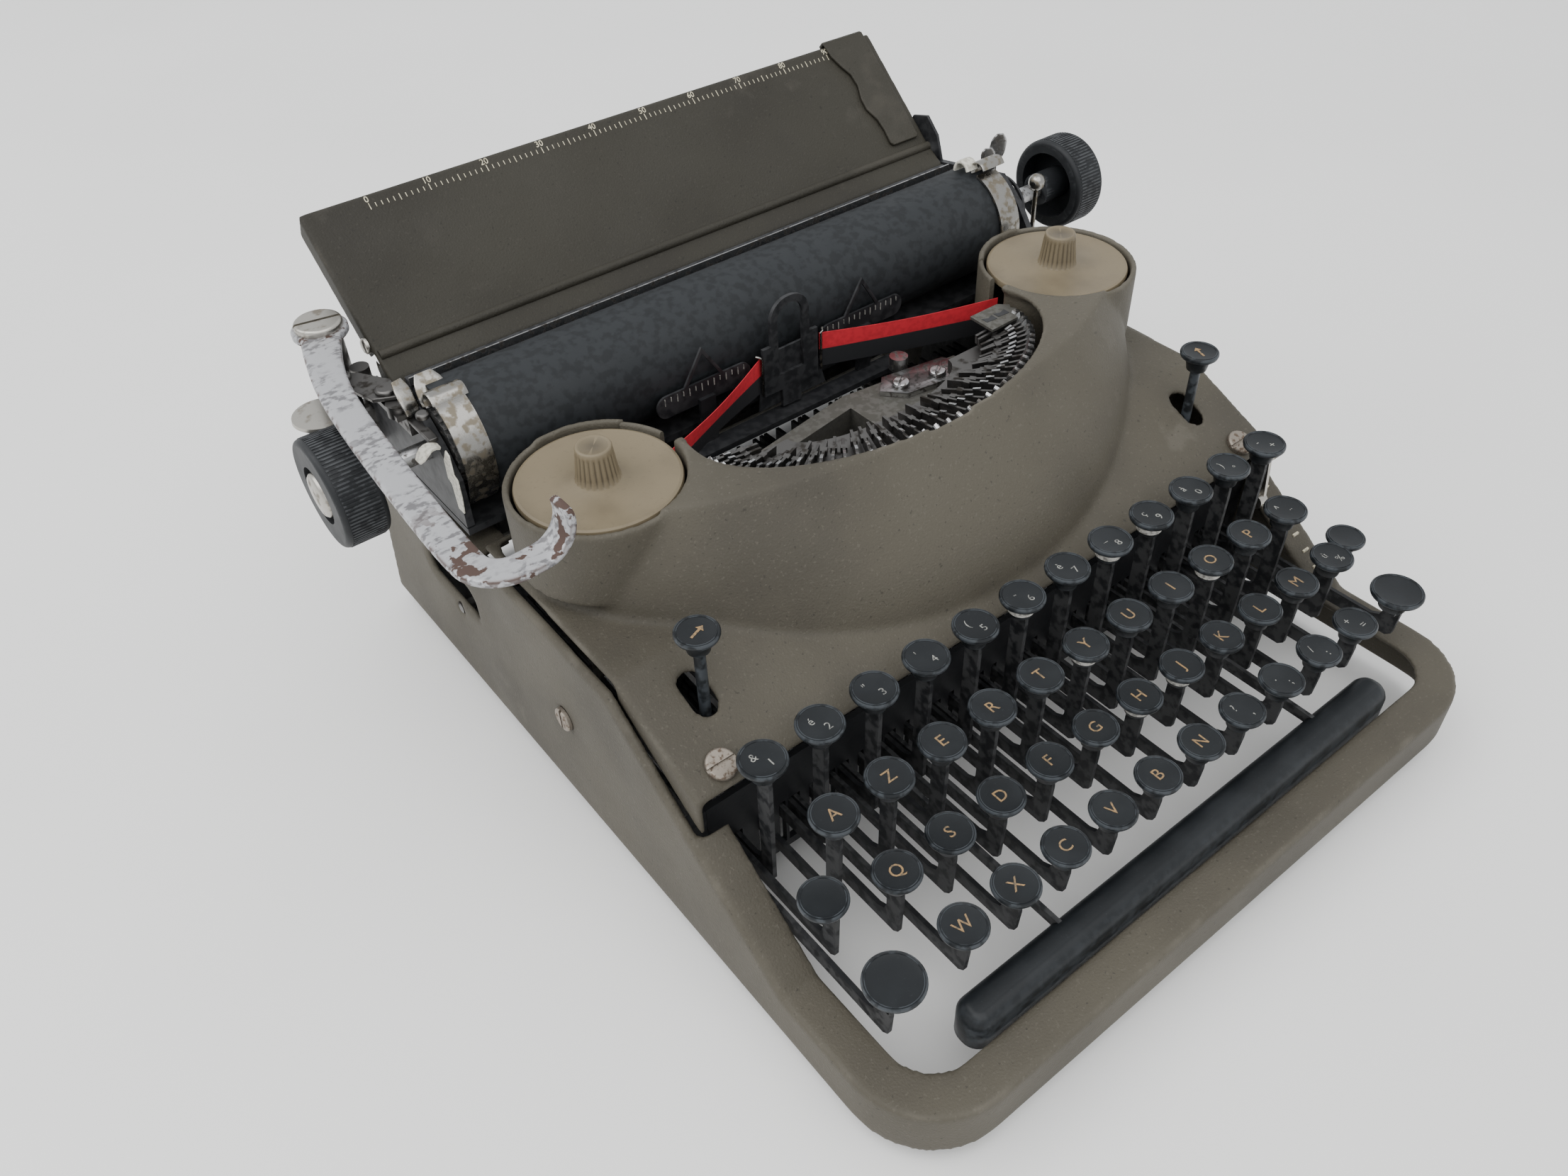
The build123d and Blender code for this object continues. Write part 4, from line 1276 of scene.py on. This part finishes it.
@dataclass
class TypeBasket:
    """The type bars, their bed, and the cast bridge under them."""

    count: int = 42
    half_wide: float = 63.0
    half_deep: float = 32.0
    centre_y: float = 165.0
    level: float = 102.6

    def build(self, rules: Rules) -> None:
        """Grow the bars and dress the rest.

        Args:
            rules: the repeat trees.
        """
        points, headings = [], []
        for i in range(self.count):
            a = math.pi + math.pi * (i + 0.5) / self.count
            x, y = self.half_wide * math.cos(a), self.centre_y + self.half_deep * math.sin(a)
            points.append((x, y, self.level))
            headings.append(math.atan2((y - self.centre_y) * 1.6, x))
        sizes = {"Length": 17 * MM, "Thickness": 0.9 * MM}
        arms = rules.arm.grow("type_bar_arms", Finish.DARK_STEEL, sizes, points, headings)
        mount(arms, "frame", "dark_steel", "type_bars")
        teeth = rules.tooth.grow("type_bar_teeth", Finish.BRIGHT_STEEL, sizes, points, headings)
        mount(teeth, "frame", "bright_steel")
        self.end_plate()
        dress(
            Finish.DARK_STEEL, "type_bed", "rear_bracket", "spring_drum", "escapement_wheel",
            "carriage_rails"
        )
        dress(Finish.CAST, "mechanism_casting")
        dress(Finish.BRIGHT_STEEL, "centre_plate")


    def end_plate(self) -> None:
        """The flat toothed plate that closes the fan at the right; its two holes are black patches of painted
        shade.
        """
        plate = Solid()
        outline = [
            (64.5, 161.5), (66.0, 163.0), (64.6, 164.4), (66.2, 166.0), (64.8, 167.4), (66.2, 169.0),
            (64.6, 170.4)
        ]
        outline += [(63.0, 172.0), (50.5, 172.0), (50.0, 161.0)]
        plate.prism(outline, 102.8, 103.7)
        mount(plate.build("fan_end_plate", Finish.CAST), "frame", "bright_steel")
        # Thin black patches on the plate: painted shade where its two holes are.
        holes = Solid()
        for x, y, wide in ((54.2, 166.6, 2.2), (59.8, 166.6, 2.4)):
            outline = [
                (x - wide, y - 1), (x + wide, y - 1.4), (x + wide, y + 1.4), (x, y + 0.6),
                (x - wide, y + 1.6)
            ]
            holes.prism(outline, 103.6, 103.8)
        mount(holes.build("fan_end_hole_shade", Finish.BLACK_STEEL), "frame", "black_steel")


@dataclass
class RibbonRun:
    """The ribbon, its guide, the card holders and the spools."""

    print_x: float = -4.0
    low: float = 88.0
    high: float = 101.0
    spool_x: float = 94.7
    spool_y: float = 174.3
    knob_flutes: int = 22
    flute_depth: float = 0.42
    knob_steps: tuple = (
        (6.9, 107.3, 0), (6.6, 107.9, 1), (6.2, 110.0, 1), (5.5, 116.2, 1), (5.35, 116.9, 0),
        (5.3, 118.0, 0), (5.0, 118.5, 0), (4.5, 118.5, 0), (4.2, 118.2, 0), (0.001, 118.2, 0),
    )

    def ribbon(self) -> None:
        """Two runs of ribbon: the left one twists on its way, the right one hangs almost flat."""
        pieces = []
        for side, name in ((-1, "left"), (1, "right")):
            start = Vector((side * 70.0, 178.0, 0.0))
            end = Vector((self.print_x + side * 12.6, 201.3, 0.0))
            along = (end - start).normalized()
            across = Vector((-along.y, along.x, 0.0))
            rings, steps = [], 28
            for k in range(steps + 1):
                t = k / steps
                sway = math.sin(math.pi * t)
                twist = (-0.26 if side < 0 else 0.10) * sway
                middle = start.lerp(end, t) + across * (0.5 * sway)
                ring = []
                for share, face in ((-0.5, -1), (0.5, -1), (0.5, 1), (-0.5, 1)):
                    rise = share * (self.high - self.low)
                    out = rise * math.sin(twist) + face * 0.09
                    height = (self.low + self.high) / 2 + rise * math.cos(twist) - 0.5 * sway
                    here = middle + across * out
                    ring.append((here.x, here.y, height))
                rings.append(ring)
            solid = Solid().loft(rings)
            piece = solid.build(f"ribbon_{name}", Finish.INK)
            mount(piece, "frame", "ribbon_cloth", "ribbon")
            pieces.append(piece)

    def card_ticks(self) -> None:
        """White marks along the top of the card holders."""
        ticks = Solid()
        for x0 in (-53, 14):
            for i in range(14):
                x = x0 + i * 2.4
                tall = 2.6 if i % 2 == 0 else 1.7
                ticks.box((x - 0.14, 203.05, 100.3 - tall), (x + 0.14, 203.35, 100.3))
        mount(ticks.build("card_ticks", Finish.PALE_LEGEND), "frame", "black_steel")

    def spool(self, side: int) -> None:
        """One spool: a rimmed disc and a fluted knob.

        Args:
            side: -1 for the left spool, 1 for the right.
        """
        name = "left" if side < 0 else "right"
        centre = (side * self.spool_x, self.spool_y)
        disc = Solid()
        profile = [(0.001, 104.6), (23.6, 104.6), (24.4, 105.0), (24.5, 106.2), (24.2, 106.9), (23.4, 107.2)]
        profile += [(22.6, 106.95), (16.0, 106.9), (8.0, 107.1), (7.4, 107.5), (0.001, 107.5)]
        disc.lathe(profile, centre, sides=96)
        body = f"ribbon_spool_{name}"
        mount(disc.build(f"spool_disc_{name}", Finish.TAN), body, "spool_tan", body)
        knob, rings, sides = Solid(), [], 132
        for radius, z, flute in self.knob_steps:
            ring = []
            for k in range(sides):
                t = 2 * math.pi * k / sides
                r = radius - flute * self.flute_depth * (0.5 - 0.5 * math.cos(self.knob_flutes * t))
                ring.append((centre[0] + r * math.cos(t), centre[1] + r * math.sin(t), z))
            rings.append(ring)
        knob.loft(rings)
        mount(knob.build(f"spool_knob_{name}", Finish.TAN, sharp=70), body, "spool_tan")
        core = Solid().lathe(
            [
                (0.001, 78), (2, 78), (2, 85.2), (24.3, 85.2),
                (24.3, 86.6), (8, 86.6), (8, 104.7), (0.001, 104.7),
            ],
            centre,
        )
        mount(core.build(f"spool_core_{name}", Finish.DARK_STEEL), body, "dark_steel")

    def build(self) -> None:
        """Make the ribbon and spools and dress the guide."""
        self.ribbon()
        self.card_ticks()
        self.spool(-1)
        self.spool(1)
        apron = Solid()
        outline = [(-12.5, 101.0), (4.5, 101.0), (8.5, 92.0), (12.0, 80.0), (-17.0, 80.0), (-15.5, 92.0)]
        apron.prism(outline, 202.0, 202.9, View.FRONT)
        mount(apron.build("guide_apron", Finish.BLACK_STEEL, 0.2), "ribbon_guide", "black_steel")
        hooks = Solid()
        for side in (-1, 1):
            x = self.print_x + side * 12.6
            bend = [
                (x, 200.4, 87.4), (x, 200.2, 101.4), (x + side * 0.6, 200.4, 102.2),
                (x + side * 1.4, 201.4, 102.3)
            ]
            hooks.tube(bend, 0.45, 8)
        mount(hooks.build("ribbon_hooks", Finish.NICKEL, sharp=60), "ribbon_guide", "black_steel")
        index = Solid()
        for x, z in ((-5.2, 88.0), (-3.2, 88.0), (-1.2, 88.0), (-7.2, 88.0), (-9.2, 88.0), (1.0, 88.0)):
            index.box((x - 0.1, 201.85, z), (x + 0.1, 202.0, z + 1.6))
        index.prism([(-4.6, 83.6), (-3.4, 83.6), (-4.0, 86.4)], 201.85, 202.0, View.FRONT)
        mount(index.build("guide_index", Finish.PALE_LEGEND), "ribbon_guide", "black_steel")
        dress(Finish.BLACK_STEEL, "ribbon_guide", "card_holders")


@dataclass
class Carriage:
    """The platen with its knobs and bands, the paper table, and the levers at both ends."""

    platen_y: float = 225.0
    platen_z: float = 102.9
    knob_r: float = 17.0
    pivot: Flat = (-131.5, 272.0)
    lever_z: float = 124.4
    scale_start: float = -97.9
    letter_space: float = 2.117
    table_top: Flat = (300.3, 149.3)
    table_ridge: Flat = (263.5, 116.5)

    def knobs(self, rules: Rules) -> None:
        """Fine ribs round both knobs and a domed silver disc in each outer face.

        Args:
            rules: the repeat trees.
        """
        for side, name in ((-1, "left"), (1, "right")):
            middle = side * 151.4
            sizes = {
                "Count": 88, "Radius": (self.knob_r - 0.05) * MM, "Size": (0.5 * MM, 0.55 * MM, 10.4 * MM)
            }
            sizes["Centre"] = tuple(spot(middle, self.platen_y, self.platen_z))
            sizes["Turn"] = (0.0, math.pi / 2, 0.0)
            ribs = rules.ring.grow(f"knob_ribs_{name}", Finish.KNOB, sizes)
            mount(ribs, "platen_roll", "knob_plastic")
            out = side * 158.3
            profile = [
                (0.001, out - side * 1.4), (6.9, out - side * 1.4), (6.9, out), (6.2, out + side * 0.7)
            ]
            profile += [(3.8, out + side * 1.1), (0.001, out + side * 1.3)]
            disc = Solid().lathe(profile, (self.platen_y, self.platen_z), View.SIDE)
            nodes = ("knob_caps",) if side > 0 else ()
            mount(
                disc.build(f"knob_disc_{name}", Finish.NICKEL_SCREW, sharp=50), "platen_roll", "nickel",
                *nodes
            )
        dress(Finish.KNOB, "platen_knob_left", "platen_knob_right")
        dress(Finish.PLATEN, "platen")
        dress(Finish.BRIGHT_STEEL, "platen_shaft", "ratchet_wheel")

    def paper_table(self, rules: Rules) -> None:
        """The tilted table, its printed scale, and the sliding guide.

        Args:
            rules: the repeat trees.
        """
        table = soften("paper_table", "paper_table_plate", Finish.TABLE, 0.76, 3)
        mount(table, "carriage", "table_paint", "paper_table")
        self.side_guide()
        fold = Solid().tube([(-118.8 + 26.0 * k, 262.6, 115.7) for k in range(10)], 1.7, 20)
        mount(fold.build("table_fold", Finish.TABLE, sharp=60), "carriage", "table_paint")
        edge = Solid().box((-119.6, 254.0, 106.4), (115.6, 256.2, 108.6))
        mount(edge.build("table_lower_lip", Finish.TABLE, 0.5), "carriage", "table_paint")
        screw = Solid().lathe(
            [(0.001, -120.0), (2.6, -120.0), (2.6, -121.0), (2.0, -121.5), (0.001, -121.6)], (268.0, 117.5),
            View.SIDE, 24
        )
        mount(screw.build("table_side_screw", Finish.NICKEL_SCREW, sharp=50), "carriage", "nickel")
        self.scale(rules)
        blade = Solid().box((-118, 243.0, 114.0), (108, 243.5, 116.6))
        mount(
            blade.build("paper_strip_blade", Finish.BRIGHT_STEEL), "carriage", "bright_steel", "paper_strip"
        )
        # A black block behind the bright blade: painted shade filling the dark gap between the table and the
        # platen.
        shade = Solid().box((-118, 243.5, 104.0), (108, 247.0, 115.4))
        mount(shade.build("painted_shade_behind_paper_strip", Finish.BLACK_STEEL, 0.3), "carriage", "black_steel")

    def side_guide(self) -> None:
        """The sliding guide: a wavy-edged plate on the table's face, hooked over its top."""
        top, ridge = Vector(self.table_top), Vector(self.table_ridge)
        up = (top - ridge).normalized()
        out = Vector((-up.y, up.x))
        edge = [
            (93.0, -1.0), (93.4, 5.0), (95.4, 10.0), (97.6, 14.0), (98.0, 19.0), (96.4, 24.5), (96.2, 29.0)
        ]
        edge += [
            (98.4, 34.0), (99.0, 39.0), (98.6, 44.5), (99.6, 46.0), (111.6, 46.0), (112.5, 45.0),
            (112.5, -1.0)
        ]
        plate, rings = Solid(), []
        for lift in (0.5, 1.5):
            rings.append([])
            for x, down in edge:
                place = top - up * down + out * lift
                rings[-1].append((x, place.x, min(place.y, 150.9)))
        plate.loft(rings)
        crown = [
            top + out * 1.5 + up * 0.4, top + out * 0.6 + up * 1.6, top - out * 2.0 + up * 1.6,
            top - out * 3.2 - up * 6.0
        ]
        inner = [top - out * 2.2 - up * 6.0, top - out * 1.4 + up * 0.5, top + out * 0.5 + up * 0.5]
        outline = [(min(p.x, 304.7), min(p.y, 151.4)) for p in crown + inner]
        plate.prism(outline, 93.0, 112.5, View.SIDE)
        mount(plate.build("side_guide_plate", Finish.TABLE, 0.3), "paper_guide", "table_paint", "paper_guide")

    def scale(self, rules: Rules) -> None:
        """Marks for every letter space and a figure at every tenth.

        Args:
            rules: the repeat trees.
        """
        top, ridge = Vector(self.table_top), Vector(self.table_ridge)
        up = (top - ridge).normalized()
        out = Vector((-up.y, up.x))
        slope = math.atan2(up.y, up.x)

        def on_table(u: float, v: float) -> Point:
            """The point u across and v down the table's face."""
            place = top - up * v + out * 0.05
            return (u, place.x, place.y)

        x0, step = self.scale_start, self.letter_space
        start = spot(*on_table(x0, 4.3))
        sizes = {"Count": 91, "Start": tuple(start), "Step": (step * MM, 0, 0)}
        sizes["Size"] = (0.22 * MM, 1.5 * MM, 0.12 * MM)
        sizes["Long Size"] = (0.26 * MM, 2.3 * MM, 0.12 * MM)
        sizes["Long Every"] = 5
        sizes["Turn"] = (slope, 0.0, 0.0)
        marks = rules.row.grow("table_scale_marks", Finish.SCALE_MARK, sizes)
        mount(marks, "carriage", "table_paint")
        rows = []
        for tens in range(10):
            def where(u: float, v: float, x: float = x0 + tens * 10 * step) -> Point:
                """A figure's flat point laid on the table."""
                return on_table(x + u, 1.9 - v * 1.0)
            rows.append((str(tens * 10), 3.0, where))
        mount(letters(rows).build("table_scale_figures", Finish.SCALE_MARK), "carriage", "table_paint")

    def return_lever(self) -> None:
        """The long flat lever: boss, straight bar, elbow, and a tip that curls up."""
        px, py = self.pivot
        z = self.lever_z + 1.3
        route = [
            (px, py, 15.0), (-135.0, 262.0, 13.0), (-139.0, 250.0, 11.2), (-142.4, 236.0, 10.2),
            (-144.4, 218.0, 9.9)
        ]
        route += [(-145.9, 198.0, 9.9), (-147.2, 176.0, 9.8), (-148.1, 158.0, 9.6), (-148.3, 147.0, 9.5)]
        path, sides, wide = [], [], []
        for x, y, w in route:
            path.append((x, y, z))
            wide.append(w)
            sides.append(Vector((1, 0.12, 0)))
        for k in range(1, 9):
            t = math.radians(90 * k / 8)
            path.append((-138.8 - 9.5 * math.cos(t), 143.6 - 9.6 * math.sin(t), z))
            sides.append(Vector((math.cos(t), math.sin(t), 0)))
            wide.append(9.4)
        reach = 9.2
        for k in range(1, 10):
            t = math.radians(112 * k / 9)
            path.append((-134.0 + reach * math.sin(t), 134.0 + 0.06 * k, z + reach * (1 - math.cos(t))))
            sides.append(Vector((0, 1, 0)))
            wide.append(9.3 - 0.05 * k)
        bar = Solid().strip(path, sides, wide, 2.6)
        lever = bar.build("return_lever_bar", Finish.SILVER, sharp=60)
        thin = lever.modifiers.new("smoothing", "SUBSURF")
        thin.levels = thin.render_levels = 1
        mount(lever, "return_lever", "lever_silver", "return_lever")
        steps = ((3.1, 0.0), (8.2, 0.0), (8.6, 0.5), (8.6, 2.2), (8.2, 2.7), (3.1, 2.7))
        boss = Solid().lathe([(radius, self.lever_z + rise) for radius, rise in steps], self.pivot)
        mount(boss.build("return_lever_boss", Finish.SILVER, sharp=50), "return_lever", "lever_silver")

    def left_end(self) -> None:
        """The bright tabs, rivets and links at the left end of the carriage."""
        tabs = Solid()
        arc = [math.radians(20 + 200 * k / 14) for k in range(15)]
        path = [(-116.0, 220.5 - 3.6 * math.cos(t), 119.9 + 3.6 * math.sin(t)) for t in arc]
        tabs.strip(path, [Vector((1, 0, 0))] * 15, [11.5] * 15, 0.9)
        path = [(-117.0, 226.0 + 0.25 * k * k, 116.6 + 1.4 * k) for k in range(6)]
        tabs.strip(path, [Vector((1, 0, 0))] * 6, [9.5, 10.0, 10.0, 9.6, 8.4, 5.6], 0.9)
        path = [(-124.8, 226.5 + 0.3 * k * k, 115.6 + 1.5 * k) for k in range(6)]
        tabs.strip(path, [Vector((1, 0.2, 0))] * 6, [4.6, 5.0, 5.4, 5.4, 5.0, 3.4], 0.9)
        mount(tabs.build("band_tabs_left", Finish.NICKEL, sharp=60), "carriage", "nickel")
        links = Solid()
        links.prism(
            [(-132.5, 236), (-124.5, 232), (-123.5, 243), (-129, 252), (-135, 258), (-137, 252)], 117.7,
            119.0
        )
        links.prism([(-126.5, 214), (-123.6, 214), (-122.6, 236), (-126.5, 238)], 112.0, 113.3)
        for x, y, r in ((-127.4, 237.5, 3.3), (-134.0, 252.5, 2.2), (-125.0, 218.0, 2.0)):
            links.lathe(
                [(0.001, 118.6), (r, 118.6), (r, 119.9), (r * 0.8, 120.4), (0.001, 120.5)], (x, y), sides=28
            )
        mount(links.build("link_plates", Finish.DARK_STEEL, 0.25), "carriage", "dark_steel")
        tab = Solid()
        path = [(-124.5 - 1.3 * k, 213.0 - 0.4 * k, 111.0 + 1.5 * math.sin(k * 0.6)) for k in range(7)]
        tab.strip(path, [Vector((0, 1, 0))] * 7, [3.4, 3.6, 4.2, 4.8, 5.2, 4.8, 2.6], 1.1)
        notched = [(206, 90), (209.5, 90), (210, 99), (212, 100), (211.5, 107), (208.4, 112), (206.4, 111)]
        notched += [(206.6, 104), (204.6, 103), (204.8, 96)]
        tab.prism(notched, -124.6, -124.1, View.SIDE)
        mount(tab.build("pale_tabs_left", Finish.CREAM, 0.2), "carriage", "nickel")
        washer = Solid().lathe(
            [(0.001, 117.0), (7.8, 117.0), (8.4, 117.6), (8.2, 118.6), (0.001, 119.4)], (-147.0, 240.0)
        )
        mount(washer.build("lever_stop_washer", Finish.NICKEL_SCREW, sharp=50), "carriage", "nickel")
        dress(Finish.NICKEL, "platen_band_left", "platen_band_right")
        dress(Finish.NICKEL_SCREW, "lever_pivot_screw")
        dress(Finish.DARK_STEEL, "line_space_link", "lever_bracket")

    def right_end(self) -> None:
        """The paper release, the ball-ended lever and the brackets at the right end."""
        tabs = Solid()
        arc = [math.radians(20 + 200 * k / 14) for k in range(15)]
        path = [(105.5, 220.8 - 3.2 * math.cos(t), 123.2 + 3.2 * math.sin(t)) for t in arc]
        tabs.strip(path, [Vector((1, 0, 0))] * 15, [11.0] * 15, 0.9)
        mount(tabs.build("band_tab_right", Finish.NICKEL, sharp=60), "carriage", "nickel")
        hook = Solid()
        path = [
            (99.5, 226.0 + 3.4 * math.cos(t), 122.0 + 4.0 * math.sin(t))
            for t in [0.35 * k for k in range(9)]
        ]
        hook.strip(path, [Vector((1, 0, 0))] * 9, [5.5] * 9, 1.3)
        mount(hook.build("paper_hook_right", Finish.CREAM, sharp=60), "carriage", "nickel")
        paddle = Solid()
        path = [(122.4, 233.0 - 0.25 * k, 117.0 + 1.55 * k) for k in range(8)]
        paddle.strip(path, [Vector((0.82, -0.57, 0))] * 8, [3.4, 5.0, 6.0, 6.2, 6.2, 6.0, 5.0, 2.6], 1.0)
        path = [(119.0, 233.5, 116.0 + 1.3 * k) for k in range(6)]
        paddle.strip(path, [Vector((0.82, -0.57, 0))] * 6, [3.0, 4.6, 5.4, 5.6, 5.0, 2.8], 0.9)
        paddle.prism(
            [(230.5, 92), (234.5, 92), (236.5, 106), (235.5, 118), (231.5, 118), (231, 106)], 120.6, 121.8,
            View.SIDE
        )
        mount(paddle.build("release_paddle", Finish.BRIGHT_STEEL, sharp=60), "paper_release_lever", "nickel",
              "paper_release_lever")
        rings = Solid()
        for radius, x in ((11.5, 119.6), (8.6, 120.4)):
            rings.ring([(radius, x), (radius, x + 0.9), (radius - 1.2, x + 0.9), (radius - 1.2, x)],
                       (self.platen_y, self.platen_z), View.SIDE)
        mount(rings.build("gear_rings_right", Finish.BLACK_STEEL), "carriage", "black_steel")
        bracket = Solid()
        outline = [
            (250, 90), (268, 90), (276, 104), (278, 116), (274, 124), (266, 126), (260, 120), (256, 108)
        ]
        bracket.prism(outline, 117.4, 118.6, View.SIDE)
        mount(bracket.build("table_bracket_right", Finish.BLACK_STEEL, 0.3), "carriage", "black_steel")
        dress(Finish.NICKEL, "ball_lever")

    def build(self, rules: Rules) -> None:
        """Make the whole carriage.

        Args:
            rules: the repeat trees.
        """
        self.knobs(rules)
        self.paper_table(rules)
        self.return_lever()
        self.left_end()
        self.right_end()
        dress(Finish.BLACK_STEEL, "carriage_bed", "carriage_end_left", "carriage_end_right", "deflector")
        dress(Finish.PLATEN, "feed_rollers")
        dress(Finish.NICKEL_SCREW, "touch_lever")


def main() -> None:
    """Build the whole machine."""
    logging.basicConfig(level=logging.INFO, format="%(name)s: %(message)s")
    studio = Studio()
    studio.camera()
    studio.floor()
    studio.light()
    rules = Rules()
    casing = Casing()
    casing.build()
    casing.touch_scale()
    Keyboard().build(rules)
    TypeBasket().build(rules)
    RibbonRun().build()
    Carriage().build(rules)


if __name__ == "__main__":
    main()
